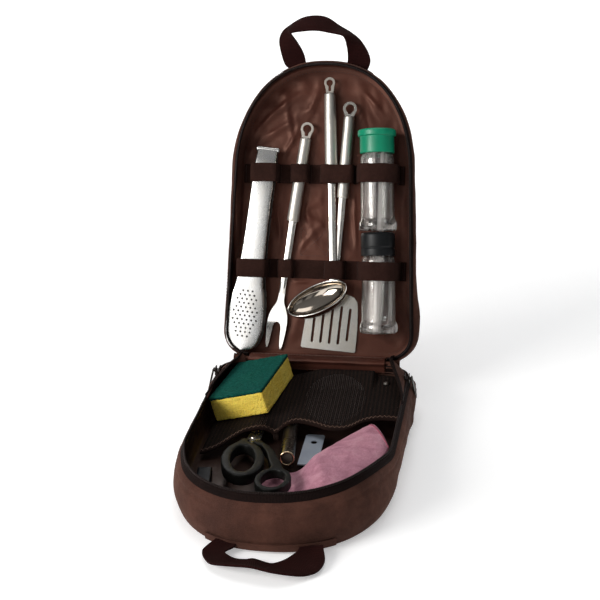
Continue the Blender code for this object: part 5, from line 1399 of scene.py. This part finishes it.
def tongs_arm(name, sign, material):
    v = np.concatenate([np.linspace(-0.0010, -0.145, 34), np.linspace(-0.149, -0.2200, 40)])
    rows = []
    for vv, hw, up, fl in zip(v, table(ARM_WIDTH, v), table(ARM_RISE, v), table(ARM_FLANGE, v)):
        r = min(0.0014, 0.45 * hw, 0.7 * fl)
        sec = [(-hw, up - fl), (-hw, up - r)]
        sec += [(-hw + r - r * math.cos(a), up - r + r * math.sin(a)) for a in np.linspace(0.2, math.pi / 2, 5)]
        crown = 0.0005 + 0.0004 * float(step(-0.150, -0.175, vv))
        sec += [(u * (hw - r), up + crown * (1 - u * u)) for u in np.linspace(-0.85, 0.85, 11)]
        sec += [(-a, b) for a, b in reversed(sec[:7])]
        rows.append([(a, vv, sign * b) for a, b in sec])
    P = np.array(rows)
    P = P @ np.array(tongs_at.to_3x3()).T + np.array(tongs_at.translation)
    ob = skin(name, P, 0.0009, material, side=-sign, crease=45)
    cutters = []
    for k, (u, vv) in enumerate(HOLES):
        hw = float(table(ARM_WIDTH, vv))
        if abs(u) > hw - 0.0032:
            continue
        up = float(table(ARM_RISE, vv))
        at = tongs_at @ Matrix.Translation((u, vv, sign * up)) @ Matrix.Rotation(math.pi / 2, 4, "X")
        cutters.append(lathe("c%d" % k, [(0.0, -0.003), (0.00112, -0.003), (0.00112, 0.003), (0.0, 0.003)],
                             material, at, 12, 30))
    cut = joined("cutters", cutters)
    mod = ob.modifiers.new("holes", "BOOLEAN")
    mod.operation = "DIFFERENCE"
    mod.solver = "EXACT"
    mod.object = cut
    dg = bpy.context.evaluated_depsgraph_get()
    me = bpy.data.meshes.new_from_object(ob.evaluated_get(dg))
    ob.modifiers.clear()
    ob.data = me
    ob.data.materials.clear()
    ob.data.materials.append(material)
    bpy.data.objects.remove(cut, do_unlink=True)
    ob.data.shade_smooth()
    ob.data.set_sharp_from_angle(angle=rad(38))
    mod = ob.modifiers.new("even", "WEIGHTED_NORMAL")
    mod.weight = 80
    mod.keep_sharp = True
    return ob


ob = tongs_arm("tongs_rear_sheet", -1, M_BLADE)
# painted shade: faces of the rear arm that face the front arm get the dark steel
ob.data.materials.append(M_SHADE)
for f in ob.data.polygons:
    if f.normal.dot(Vector(LUP)) > 0.3:
        f.material_index = 1
stand_for(ob, "tongs", "tongs_rear_arm", slot="polished_steel")
stand_for(tongs_arm("tongs_front_sheet", 1, M_BLADE), "tongs_front", "tongs_front_arm", slot="polished_steel")
prof = rounded([(0, -0.0128), (0.0016, -0.0128), (0.0027, -0.0118), (0.0027, 0.0118), (0.0016, 0.0128), (0, 0.0128)],
               0.0006)
ob = lathe("tongs_roll", prof, M_BLADE, tongs_at @ Matrix.Rotation(rad(90), 4, "Z"), 28, 40)
stand_for(ob, "tongs", "tongs_pin", slot="satin_steel")
give("tongs_spring", M_SATIN_STEEL)

# fork
at = hung(FORK_TOP, FORK_LEAN)
stand_for(hook("fork_ring", 0.0180, 0.0140, at, M_RING), "fork", "fork_hook", slot="satin_steel")
stand_for(tube("fork_tube", -0.0170, -0.1085, 0.0058, 0.0066, at, M_SATIN_STEEL), "fork", "fork_handle",
          slot="satin_steel")
stand_for(bar("fork_shank", [(-0.1050, 0, -0.0006, 0.0046, 0.0024), (-0.1130, 0, -0.0010, 0.0043, 0.0021),
                             (-0.150, 0, -0.0030, 0.0040, 0.0019), (-0.1855, 0, -0.0042, 0.0037, 0.0015),
                             (-0.1900, 0, -0.0046, 0.0040, 0.0011)], at, M_POLISH), "fork", "fork_stem",
          slot="polished_steel")
prong = [(0.0036, -0.1873), (0.0044, -0.1980), (0.0080, -0.2060), (0.0104, -0.2130), (0.0113, -0.2220),
         (0.0108, -0.2360), (0.0095, -0.2470), (0.0076, -0.2512), (0.0058, -0.2470), (0.0047, -0.2360),
         (0.0042, -0.2270), (0.0026, -0.2222), (0.0, -0.2208)]
right = spline(prong, 60)
loop = [tuple(p) for p in right] + [(-p[0], p[1]) for p in right[-2::-1]]
stand_for(plate("fork_tines", loop, [], 0.0016, lambda u, v, w: (
    u, v, -0.0052 + w + 0.0016 * math.sin(math.pi * min(1.0, max(0.0, (-0.1873 - v) / 0.0640))) + 4.0 * u * u),
    at, M_POLISH, 0.0005), "fork", "fork_head", slot="polished_steel")

# turner
at = hung(TURNER_TOP, TURNER_LEAN)
# painted shade and brown reflection in the ring's darker steel
stand_for(hook("turner_ring", 0.0165, 0.0150, at, M_TURNER_SHADE, 0.0029), "turner", "turner_hook", slot="satin_steel")
stand_for(tube("turner_tube", -0.0155, -0.1040, 0.0058, 0.0061, at, M_SATIN_STEEL), "turner", "turner_handle",
          slot="satin_steel")
stand_for(bar("turner_shank", [(-0.1000, 0, -0.0002, 0.0044, 0.0022), (-0.1090, 0, -0.0006, 0.0041, 0.0019),
                               (-0.150, 0, -0.0022, 0.0036, 0.0015), (-0.185, 0, -0.0036, 0.0032, 0.0012),
                               (-0.2030, -0.0006, -0.0049, 0.0034, 0.0009)], at, M_POLISH), "turner", "turner_stem",
          slot="polished_steel")
blade = [(0.0034, -0.2010), (0.0055, -0.2060), (0.0150, -0.2090), (0.0215, -0.2112), (0.0253, -0.2160),
         (0.0266, -0.2240), (0.0278, -0.2450), (0.0276, -0.2700), (0.0266, -0.2716), (0.0, -0.2712), (-0.0316, -0.2706),
         (-0.0330, -0.2690), (-0.0308, -0.2450), (-0.0292, -0.2240), (-0.0275, -0.2160), (-0.0235, -0.2112),
         (-0.0160, -0.2090), (-0.0070, -0.2060), (-0.0046, -0.2010)]
slots = []
for k in range(5):
    u0 = -0.0205 + 0.0096 * k
    top = -0.2230 - (0.002 if k in (0, 4) else 0.0)
    low = -0.2625 + (0.0045 if k == 4 else 0.0)
    r = 0.0014
    sl = [(u0 + 0.0006 + r * math.cos(a), top + r * math.sin(a)) for a in np.linspace(0, math.pi, 9)]
    sl += [(u0 - 0.0006 + r * math.cos(a), low + r * math.sin(a)) for a in np.linspace(math.pi, 2 * math.pi, 9)]
    slots.append(sl)
# painted shade and brown reflection in the blade's darker steel
ob = plate("turner_plate", blade, slots, 0.0011, lambda u, v, w: (u, v, -0.0056 + w), at, M_TURNER_SHADE, 0.0003)
stand_for(ob, "turner", "turner_blade", slot="polished_steel")

# ladle
at = hung(LADLE_TOP, LADLE_LEAN)
stand_for(hook("ladle_ring", 0.0180, 0.0118, at, M_RING), "ladle", "ladle_hook", slot="satin_steel")
stand_for(tube("ladle_tube", -0.0170, -0.1090, 0.0060, 0.0068, at, M_SATIN_STEEL), "ladle", "ladle_handle",
          slot="satin_steel")
BOWL_C = np.array([-0.0015, 0.0665, -0.0056])
BOWL_A, BOWL_B, BOWL_D, BOWL_T = 0.0345, 0.0208, 0.0158, 0.0011
ct, st_ = math.cos(rad(45)), math.sin(rad(45))
spin = np.array(Matrix.Rotation(rad(25), 3, "Z"))
e1, e2, e3 = spin @ np.array([1, 0, 0]), spin @ np.array([0, ct, -st_]), spin @ np.array([0, st_, ct])
f = np.concatenate([np.linspace(0, 0.04, 3), np.linspace(0.10, math.pi / 2 - 0.002, 30)])
t = np.linspace(0, 2 * math.pi, 73)
P = (BOWL_C + e1 * (BOWL_A * np.cos(f)[:, None, None] * np.cos(t)[None, :, None])
     + e2 * (BOWL_B * np.cos(f)[:, None, None] * np.sin(t)[None, :, None])
     - e3 * (BOWL_D * (np.sin(f) ** 0.92)[:, None, None]))
# painted brown reflection and shade in the bowl's darker steel
bowl = skin("ladle_shell", lid_world(P), 0.0010, M_BOWL_REFLECTION, True, side=1, crease=80)
rim = BOWL_C + e1 * ((BOWL_A - 0.0004) * np.cos(t)[:, None]) + e2 * ((BOWL_B - 0.0004) * np.sin(t)[:, None])
g = np.linspace(0, 2 * math.pi, 10, endpoint=False)
rings = []
for i in range(72):
    outw = e1 * math.cos(t[i]) * 0.6 + e2 * math.sin(t[i])
    outw /= np.linalg.norm(outw)
    rings.append([rim[i] + 0.00085 * (outw * math.cos(a) + e3 * math.sin(a)) for a in g])
rings.append(rings[0])
bead = tube_grid("ladle_rim", lid_world(np.array(rings)), M_POLISH, caps=False, crease=None)
stand_for(joined("ladle_dish", [bowl, bead]), "ladle", "ladle_bowl", slot="polished_steel")
phi = rad(49)
root = BOWL_C + e1 * (BOWL_A * 1.02 * math.cos(phi)) + e2 * (BOWL_B * 1.02 * math.sin(phi))
unlean = np.array(Matrix.Rotation(-LADLE_LEAN, 3, "Z"))
foot = unlean @ (root - np.array(LADLE_TOP))
stand_for(bar("ladle_shank", [(-0.1050, 0, 0.0000, 0.0044, 0.0023), (-0.1150, 0, 0.0003, 0.0041, 0.0020),
                              (-0.150, 0, 0.0008, 0.0039, 0.0017), (-0.190, 0, 0.0014, 0.0039, 0.0015),
                              (-0.2100, foot[0] * 0.7, 0.0022, 0.0040, 0.0013),
                              (foot[1] - 0.0006, foot[0], foot[2] + 0.0004, 0.0046, 0.0009)], at, M_POLISH),
          "ladle", "ladle_stem", slot="polished_steel")

# ---------------------------------------------------------------- shakers
JAR_D = LID_FLOOR + 0.0003 + 0.0206
JAR_OUT = rounded([(0, 0.0004), (0.0150, 0.0004), (0.0178, 0.0000), (0.0200, 0.0018), (0.0205, 0.0060),
                   (0.0200, 0.0098), (0.0182, 0.0128), (0.0181, 0.0250), (0.0181, 0.0768), (0.0170, 0.0812),
                   (0.0149, 0.0828), (0.0148, 0.0880), (0.0148, 0.0988)], 0.0018, 5)
JAR_IN = rounded([(0.0148, 0.0988), (0.0140, 0.0992), (0.0130, 0.0988), (0.0130, 0.0815), (0.0158, 0.0765),
                  (0.0162, 0.0600), (0.0162, 0.0165), (0.0148, 0.0085), (0.0100, 0.0062), (0, 0.0058)], 0.0015, 4)
GREEN = rounded([(0, 0.1050), (0.0150, 0.1050), (0.0152, 0.0832), (0.0160, 0.0830), (0.0180, 0.0832), (0.0183, 0.0838),
                 (0.0183, 0.1008), (0.0202, 0.1014), (0.0204, 0.1020), (0.0204, 0.1066), (0.0198, 0.1076),
                 (0.0186, 0.1083), (0.0060, 0.1087), (0, 0.1087)], 0.0005, 3)
BLACKC = rounded([(0, 0.1050), (0.0150, 0.1050), (0.0152, 0.0832), (0.0160, 0.0830), (0.0181, 0.0832),
                  (0.0183, 0.0840), (0.0183, 0.0905), (0.0178, 0.0912), (0.0178, 0.0922), (0.0183, 0.0930),
                  (0.0183, 0.1052), (0.0176, 0.1072), (0.0160, 0.1082), (0.0060, 0.1085), (0, 0.1085)], 0.0006, 3)
for tag, s0, cap, cmat in (("black", 0.0310, BLACKC, M_BLACK), ("green", 0.1402, GREEN, M_GREEN)):
    at = LID @ Matrix.Translation((jar_x(s0), s0, JAR_D)) @ Matrix.Rotation(JAR_LEAN, 4, "Z")
    prof = JAR_OUT + JAR_IN[1:]
    stand_for(lathe("%s_shaker_glass" % tag, prof, M_GLASS, at, 72, 60), "%s_shaker" % tag,
              "shaker_%s_jar" % tag, slot="jar_glass")
    stand_for(lathe("%s_shaker_lid" % tag, cap, cmat, at, 72, 35), "%s_cap" % tag, "shaker_%s_cap" % tag,
              slot="cap_" + tag)

for side in ("left", "right"):
    give("zip_slider_" + side, M_DARKMETAL)
    give("zip_pull_" + side, M_DARKMETAL)

# ----------------------------------------------------------------- sponge
SP_L, SP_W, SP_FOAM, SP_SCOUR, GAP = 0.0945, 0.0585, 0.0226, 0.0034, 0.0003
SP_X = Vector((0.955, -0.128, 0.262)).normalized()
SP_UP = Vector((-0.2664, 0.0, 0.9637))
SP_UP = (SP_UP - SP_X * SP_UP.dot(SP_X)).normalized()
SP_Y = SP_UP.cross(SP_X).normalized()
SP_C = Vector((-0.0628, HINGE_Y - 0.0566, 0.0463))
sponge_at = Matrix.Translation(SP_C) @ Matrix((SP_X, SP_Y, SP_UP)).transposed().to_4x4()


def soft_block(name, w, l, z0, z1, r, cell, wobble, scale, material, place, sag=0.0):
    """A block with rounded edges and an uneven surface."""
    half = np.array([w / 2, l / 2, (z1 - z0) / 2])
    mid = np.array([0, 0, (z0 + z1) / 2])
    verts, faces = [], []
    for axis in range(3):
        for sgn in (-1, 1):
            a, b = [k for k in range(3) if k != axis]
            na = max(2, int(2 * half[a] / cell))
            nb = max(2, int(2 * half[b] / cell))
            ga, gb = np.linspace(-half[a], half[a], na + 1), np.linspace(-half[b], half[b], nb + 1)
            start = len(verts)
            for q in gb:
                for p in ga:
                    v = np.zeros(3)
                    v[axis], v[a], v[b] = sgn * half[axis], p, q
                    verts.append(v)
            faces += quads(nb + 1, na + 1, start)
    v = np.array(verts)
    core = np.clip(v, -(half - r), half - r)
    d = v - core
    ln = np.maximum(np.linalg.norm(d, axis=1), 1e-9)[:, None]
    n = np.where(np.abs(v) >= half - 1e-9, np.sign(v), 0.0)
    edge = (np.abs(v) > half - r).sum(1) > 1
    v = core + np.where(edge[:, None], d / ln * r, d)
    nn = d / ln
    v = v + nn * (wobble * fbm(v, scale, 1.9, 3))[:, None]
    v[:, 2] -= sag * (np.abs(v[:, 0]) / half[0]) ** 2
    v = v + mid
    v = v @ np.array(place.to_3x3()).T + np.array(place.translation)
    ob = build(name, v, faces, material, merge=False)
    bm = bmesh.new()
    bm.from_mesh(ob.data)
    bmesh.ops.remove_doubles(bm, verts=bm.verts, dist=0.00025)
    bmesh.ops.recalc_face_normals(bm, faces=bm.faces)
    bm.to_mesh(ob.data)
    bm.free()
    return ob


ob = soft_block("sponge_cells", SP_W - 0.0006, SP_L - 0.0006, -SP_SCOUR - GAP - SP_FOAM, -SP_SCOUR + 0.0002, 0.0016,
                0.0014, 0.0004, 210, M_FOAM, sponge_at)
stand_for(ob, "sponge", "sponge_foam", slot="foam_yellow")
ob = soft_block("sponge_fibre", SP_W, SP_L, -SP_SCOUR, 0.0, 0.0009, 0.0009, 0.00045, 330, M_SCOUR, sponge_at)
stand_for(ob, "sponge", "sponge_scourer", slot="scour_green")
# the sponge's foot point, and a mesh of its own for each sponge part
foot = tuple(sponge_at @ Vector((0, 0, -SP_SCOUR - GAP - SP_FOAM)))
for name in ("sponge_cells", "sponge_fibre"):
    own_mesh(bpy.data.objects[name])

# --------------------------------------------------------------- scissors
ob = from_node("scissor_loop_a", "scissor_grip_a", M_GRIP, 0.0009, 16, 0.6, 1)
stand_for(ob, "scissors_half", "scissor_grip_a", slot="grip_black")
ob = from_node("scissor_loop_b", "scissor_grip_b", M_GRIP, 0.0008, 10, 0.6, 1)
stand_for(ob, "scissors", "scissor_grip_b", slot="grip_black")
give("scissor_blade_a", M_BLADE)
give("scissor_blade_b", M_BLADE)
give("scissor_rivet", M_RING)

# ------------------------------------------------------------------ towel
CLOTH_BACK = [(-0.0255, 0.2140), (-0.0160, 0.2060), (-0.0050, 0.1990), (0.0060, 0.1965), (0.0140, 0.1930),
              (0.0230, 0.1815), (0.0337, 0.1620), (0.0440, 0.1440), (0.0540, 0.1280), (0.0612, 0.1165),
              (0.0680, 0.1060)]
CLOTH_FRONT = [(-0.0230, 0.2430), (-0.0070, 0.2580), (0.0140, 0.2670), (0.0330, 0.2620), (0.0500, 0.2470),
               (0.0640, 0.2300), (0.0770, 0.2100), (0.0850, 0.1930), (0.0890, 0.1790), (0.0903, 0.1700),
               (0.0905, 0.1620)]
NS = 110
back_line, front_line = spline(CLOTH_BACK, NS), spline(CLOTH_FRONT, NS)
LAYERS = 5
cross = []
for k in range(LAYERS):
    h = (k + 0.5) / LAYERS
    us = np.linspace(-0.90, 0.90, 22)
    if k % 2:
        us = us[::-1]
    cross += [(u, h) for u in us]
    if k < LAYERS - 1:
        sg = 1 if k % 2 == 0 else -1
        for a in np.linspace(-math.pi / 2, math.pi / 2, 9)[1:-1]:
            cross.append((sg * (0.90 + 0.085 * math.cos(a)), h + 0.5 / LAYERS + 0.5 / LAYERS * math.sin(a)))
cross = np.array(cross)
fr = np.linspace(0, 1, NS)
high = 0.0100 + 0.0179 * step(0.22, 0.42, fr)
low = np.full(NS, BASE_FLOOR + 0.0008)
mid, reach = 0.5 * (back_line + front_line), 0.5 * (front_line - back_line)
P = np.zeros((NS, len(cross), 3))
u, h = cross[:, 0], cross[:, 1]
layer = np.arange(len(cross)) / len(cross)
P[..., :2] = mid[:, None] + reach[:, None] * u[None, :, None] * (1 - 0.05 * np.sin(7 * layer + 2 * fr[:, None]))[..., None]
crown = 1 - 0.20 * np.abs(u) ** 3
P[..., 2] = low[:, None] + (high - low)[:, None] * h[None, :] * crown[None, :]
q = np.stack([P[..., 0], P[..., 1], np.repeat(h[None, :], NS, 0) * 0.12], -1)
top = step(0.55, 0.95, h)[None, :]
P[..., 2] += (0.0009 * fbm(q, 42, 3.3, 3)) * (0.35 + 0.65 * top)
P[..., 2] = np.clip(P[..., 2], BASE_FLOOR + 0.0006, 0.0292)
shift = 0.0022 * fbm(np.stack([np.repeat(fr[:, None], len(cross), 1) * 0.3, np.repeat(h[None, :], NS, 0) * 0.6,
                               np.zeros((NS, len(cross)))], -1), 9, 5.5, 2)
run_dir = np.gradient(mid, axis=0)
run_dir /= np.linalg.norm(run_dir, axis=1)[:, None]
endf = step(0.86, 1.0, fr)[:, None]
P[..., :2] += run_dir[:, None] * ((shift - 0.0030 * np.abs(u)[None, :] ** 2 - 0.0012) * endf)[..., None]
world = base_world(P)
ob = skin("kitchen_cloth", world, 0.0010, M_TOWEL, side=1, crease=None)
top_cols = [k for k in range(len(cross)) if h[k] > (LAYERS - 1) / LAYERS + 0.02 and abs(u[k]) <= 0.9]
nrm = grid_normals(world, False)
lift = np.where(nrm[..., 2:3] < 0, -1.0, 1.0) * nrm
hem = []
for row, r_ in ((NS - 3, 0.0011), (NS - 9, 0.00035)):
    line = world[row, top_cols] + lift[row, top_cols] * 0.0004
    hem.append(thread("hem%d" % row, spline(line, 60), r_, M_HEM, 8))
edge = top_cols[0] if P[NS // 2, top_cols[0], 1] > P[NS // 2, top_cols[-1], 1] else top_cols[-1]
line = world[int(NS * 0.35):NS - 2, edge] + lift[int(NS * 0.35):NS - 2, edge] * 0.0002
hem.append(thread("hem_long", spline(line, 120), 0.0008, M_HEM, 8))
stand_for(joined("cloth_hems", hem), "cloth")
stand_for(ob, "cloth", "towel", slot="towel_pink")

# --------------------------------------------------- knife, plate and case
knife_at = Matrix.Translation((-0.0033, HINGE_Y - 0.1850, 0.0176)) @ Matrix.Rotation(rad(6), 4, "Z") \
    @ Matrix.Rotation(rad(-3.6), 4, "X")
prof = rounded([(0.0052, 0.0140), (0.0052, 0.0010), (0.0056, 0.0000), (0.0066, 0.0000), (0.0071, 0.0008),
                (0.0071, 0.0030), (0.0068, 0.0036), (0.0069, 0.0050), (0.0070, 0.0730), (0.0062, 0.0752),
                (0.0050, 0.0760), (0, 0.0760)], 0.0004, 3)
prof = [(0, 0.0140)] + prof
stand_for(lathe("knife_tube", prof, M_TUBE, knife_at, 48, 40), "knife", "knife_handle", slot="satin_steel")
prof = [(0.0063 + 0.00085 * math.cos(a), 0.0004 + 0.0010 * math.sin(a)) for a in np.linspace(0, 2 * math.pi, 14)]
stand_for(lathe("knife_collar", prof, M_GOLD, knife_at, 48, None), "knife")
ob = lathe("knife_core", [(0, 0.0012), (0.0049, 0.0012), (0.0050, 0.0016), (0.0050, 0.0060), (0, 0.0060)], M_CORE,
           knife_at, 32, 40)
stand_for(ob, "knife")
give("knife_blade", M_BLADE)
# painted reflection: the plate's blue steel stands in for reflected sky
give("steel_plate", M_STEEL_SKY_REFLECTION)
give("pocket_stud", M_RING)
case_at = Matrix.Translation((-0.0750, HINGE_Y - 0.2170, BASE_FLOOR + 0.0004)) @ Matrix.Rotation(rad(9), 4, "Z")
low_half = soft_block("case_low", 0.0140, 0.0360, 0.0, 0.0036, 0.0014, 0.0007, 0.00005, 90, M_CASE, case_at)
top_half = soft_block("case_top", 0.0138, 0.0358, 0.0037, 0.0068, 0.0014, 0.0007, 0.00005, 90, M_CASE, case_at)
stand_for(joined("blue_box", [low_half, top_half]), "case", "blue_case", slot="case_blue")


# ------------------------------------------------------- net and paddle
def sponge_under(x, s):
    mid = SP_C - SP_UP * (SP_FOAM + SP_SCOUR + GAP)
    return mid.z - (SP_UP.x * (x - mid.x) + SP_UP.y * (HINGE_Y - s - mid.y)) / SP_UP.z


MOUTH = [(-0.105, 0.166), (-0.080, 0.159), (-0.062, 0.1380), (-0.044, 0.1260), (-0.0310, 0.1210),
         (-0.0245, 0.1190), (-0.0180, 0.1150), (-0.002, 0.1080), (0.014, 0.1130), (0.030, 0.1200),
         (0.047, 0.1170), (0.060, 0.1020), (0.068, 0.0970), (0.105, 0.0950)]
TACK_X, TACK_S, PADDLE_X = -0.0245, 0.1190, 0.0265


def paddle_height(s):
    t = min(1.0, max(0.0, (0.1100 - s) / 0.0980))
    return 0.0066 + 0.0270 * t ** 1.4


def pocket_height(x, s):
    f = min(1.0, max(0.0, (s - 0.008) / 0.125))
    z = 0.0332 - 0.0120 * f ** 0.6
    near = min(1.0, max(0.0, (0.0520 - abs(x - PADDLE_X)) / 0.0160))
    z = max(z, near * near * (3 - 2 * near) * (paddle_height(s) + 0.0042))
    pull = math.exp(-((x - TACK_X) / 0.0080) ** 2) * min(1.0, max(0.0, (s - 0.070) / 0.049)) ** 2
    z -= 0.0070 * pull
    return max(min(z, sponge_under(x, s) - 0.0007), BASE_FLOOR + 0.0012)


def net_half(s, side):
    return half_width(s) - 0.0062 - (0.0020 if s < 0.03 else 0.0) - (0.0045 if side < 0 else 0.0)


mouth = table(MOUTH, np.linspace(-0.105, 0.105, 211))


def mouth_s(x):
    return float(np.interp(x, np.linspace(-0.105, 0.105, 211), mouth))


A = np.linspace(-1, 1, 121)
B = np.linspace(0, 1, 56)
P = np.zeros((56, 121, 3))
for i, a in enumerate(A):
    end = mouth_s(a * 0.0955)
    for j, b in enumerate(B):
        s = 0.0085 + (end - 0.0085) * b
        x = a * net_half(s, a)
        P[j, i] = (x, s, pocket_height(x, s))
q = np.stack([P[..., 0], P[..., 1], 0 * P[..., 0]], -1)
sagging = 0.0005 * fbm(q, 30, 6.6, 2)
P[..., 2] += np.minimum(sagging, 0.0) - 0.0001
W = base_world(P)
u = np.repeat(P[:, :, 0][:, :, None], 1, 2)[..., 0]
uvn = np.stack([P[..., 0], P[..., 1]], -1)
net = skin("net_panel", W, 0.0003, M_NET, uv=uvn, side=-1, crease=None)
stand_for(net, "base", "mesh_pocket", slot="net")

rows = []
for dv, dz in ((-0.0010, 0.0006), (0.0003, 0.0008), (0.0025, 0.0010), (0.0050, 0.0008), (0.0072, 0.0002),
               (0.0074, -0.0006)):
    line = []
    for a in A:
        s = mouth_s(a * 0.0955)
        x = a * net_half(s, a)
        line.append((x, s + dv, pocket_height(x, s) + dz))
    rows.append(line)
P = np.array(rows)
uvb = np.stack([np.repeat(P[:1, :, 0], 6, 0), np.repeat(np.array([0, 0.0013, 0.0035, 0.006, 0.0082, 0.009])[:, None], 121, 1)], -1)
band = skin("net_binding_tape", base_world(P), 0.0007, M_BIND, uv=uvb, side=-1, crease=None)
zig = []
k = 0
line = P[2]
run = np.concatenate([[0], np.cumsum(np.linalg.norm(np.diff(line, axis=0), axis=1))])
n = int(run[-1] / 0.0022)
for i in range(n):
    f = run[-1] * i / (n - 1)
    c = np.array([np.interp(f, run, line[:, m]) for m in range(3)])
    zig.append(c + np.array([0, 0.0021 if i % 2 else -0.0017, 0.00040]))
zig = base_world(np.array(zig))
zz = []
for a, b in zip(zig, zig[1:]):
    zz += [a, a * 0.5 + b * 0.5]
zz.append(zig[-1])
stitch = thread("net_zigzag", np.array(zz), 0.00038, M_STITCH_PALE, 5)
stand_for(joined("net_binding", [band, stitch]), "base", "mesh_binding", slot="zip_tape")

zt = pocket_height(TACK_X, TACK_S) - 0.0012
parts = []
for k in range(5):
    x0 = TACK_X - 0.0022 + 0.0011 * k
    p = np.array([[x0, TACK_S + 0.0030 + 0.0008 * math.sin(3 * k), BASE_FLOOR + 0.0003],
                  [x0 + 0.0003, TACK_S + 0.0034, 0.5 * (BASE_FLOOR + zt)],
                  [x0, TACK_S + 0.0036 + 0.0005 * math.cos(2 * k), zt]])
    parts.append(thread("tack%d" % k, base_world(spline(p, 9)), 0.0006, M_STITCH_DARK, 6))
stand_for(joined("net_tack", parts), "base", "pocket_tack", slot="webbing")

vs = np.concatenate([0.0140 + 0.034 * (1 - np.cos(np.linspace(0.05, math.pi / 2, 18))),
                     np.linspace(0.0500, 0.0880, 20)])
edge_l, edge_r = [], []
for s in vs:
    if s <= 0.048:
        dx = 0.031 * math.sqrt(max(0.0, 1 - ((0.048 - s) / 0.034) ** 2))
        edge_l.append(0.0265 - dx)
        edge_r.append(0.0265 + dx)
    else:
        edge_l.append(float(table([(0.048, -0.0045), (0.070, -0.0008), (0.086, 0.0125), (0.100, 0.0165),
                                   (0.108, 0.0180), (0.1119, 0.0235)], s)))
        edge_r.append(float(table([(0.048, 0.0575), (0.070, 0.0528), (0.086, 0.0375), (0.100, 0.0340),
                                   (0.108, 0.0325), (0.1119, 0.0268)], s)))
cols = 17
P = np.zeros((len(vs), cols, 3))
for j, s in enumerate(vs):
    P[j, :, 0] = np.linspace(edge_l[j], edge_r[j], cols)
    P[j, :, 1] = s
    P[j, :, 2] = paddle_height(s) + 0.0024 - 0.0007 * np.abs(np.linspace(-1, 1, cols)) ** 4
ob = skin("rice_paddle_body", base_world(P), 0.0020, M_PADDLE, side=1, crease=50)
stand_for(ob, "paddle", "rice_paddle", slot="paddle_plastic")

# ------------------------------------------------------- floor and lights
bpy.ops.mesh.primitive_grid_add(x_subdivisions=4, y_subdivisions=4, size=1)
bpy.data.objects.remove(bpy.context.object, do_unlink=True)
ys = np.concatenate([np.linspace(-3.0, 1.6, 12), 1.6 + 0.9 * np.sin(np.linspace(0.1, math.pi / 2, 12)), np.full(6, 2.5)])
zs = np.concatenate([np.zeros(12), 0.9 * (1 - np.cos(np.linspace(0.1, math.pi / 2, 12))), np.linspace(1.1, 3.2, 6)])
xs = np.linspace(-3.2, 3.2, 9)
P = np.zeros((len(ys), 9, 3))
P[..., 0] = xs[None, :]
P[..., 1] = ys[:, None]
P[..., 2] = zs[:, None] - 0.0002
verts = P.reshape(-1, 3)
stage = build("studio_sweep", verts, quads(len(ys), 9), M_FLOOR)


def area_light(name, place, target, size, power, colour=(1, 1, 1)):
    d = bpy.data.lights.new(name, "AREA")
    d.shape = "RECTANGLE"
    d.size, d.size_y = size
    d.energy = power
    d.color = colour
    ob = bpy.data.objects.new(name, d)
    bpy.context.collection.objects.link(ob)
    ob.location = place
    ob.rotation_euler = (Vector(target) - Vector(place)).to_track_quat("-Z", "Y").to_euler()
    return ob


area_light("key", (-1.45, -1.20, 0.92), (0.0, 0.05, 0.12), (0.95, 0.85), 38, (1.0, 0.985, 0.96))
area_light("fill", (1.15, -0.95, 0.75), (0.0, 0.1, 0.15), (0.8, 0.8), 0.5, (0.97, 0.98, 1.0))
area_light("over", (0.0, 0.35, 1.60), (0.0, 0.05, 0.10), (1.0, 0.9), 6.0)
area_light("front_card", (-0.80, -2.50, 0.72), (0.0, 0.2, 0.16), (0.95, 1.5), 8.6)
area_light("front_card_right", (0.55, -2.60, 0.95), (0.0, 0.2, 0.24), (0.80, 1.3), 0.9)
area_light("back_wash", (0.0, 1.35, 1.3), (0.0, 2.4, 0.5), (2.6, 1.0), 14)

world = bpy.data.worlds.new("studio")
bpy.context.scene.world = world
world.use_nodes = True
wt = world.node_tree
bg = wt.nodes.get("Background") or wt.nodes.new("ShaderNodeBackground")
out = wt.nodes.get("World Output") or wt.nodes.new("ShaderNodeOutputWorld")
geo = wt.nodes.new("ShaderNodeTexCoord")
sep = wt.nodes.new("ShaderNodeSeparateXYZ")
wt.links.new(geo.outputs["Generated"], sep.inputs[0])
shade = wt.nodes.new("ShaderNodeValToRGB")
el = shade.color_ramp.elements
el[0].position, el[0].color = 0.0, (0.10, 0.10, 0.10, 1)
el[1].position, el[1].color = 1.0, (0.55, 0.56, 0.58, 1)
for pos, v in ((0.30, 0.12), (0.52, 0.38)):
    x = el.new(pos)
    x.color = (v, v, v * 1.02, 1)
wt.links.new(sep.outputs[2], shade.inputs[0])
wt.links.new(shade.outputs[0], bg.inputs[0])
bg.inputs[1].default_value = 0.46
wt.links.new(bg.outputs[0], out.inputs[0])

# ----------------------------------------------------------------- camera
YAW, PITCH, ROLL = 0.1485, 0.3124, -0.0133
forward = Vector((-math.sin(YAW) * math.cos(PITCH), math.cos(YAW) * math.cos(PITCH), -math.sin(PITCH)))
right = forward.cross(Vector((0, 0, 1))).normalized()
upv = right.cross(forward)
r2 = right * math.cos(ROLL) + upv * math.sin(ROLL)
u2 = -right * math.sin(ROLL) + upv * math.cos(ROLL)
cam_data = bpy.data.cameras.new("view")
cam_data.lens = 64.84
cam_data.sensor_width = 36.0
cam_data.sensor_fit = "HORIZONTAL"
cam_data.clip_start = 0.01
cam_data.clip_end = 20
cam = bpy.data.objects.new("view", cam_data)
bpy.context.collection.objects.link(cam)
cam.matrix_world = Matrix.Translation((0.14446, -0.91706, 0.46371)) @ \
    Matrix((r2, u2, -forward)).transposed().to_4x4()
bpy.context.scene.camera = cam
bpy.context.scene.view_settings.view_transform = "Standard"
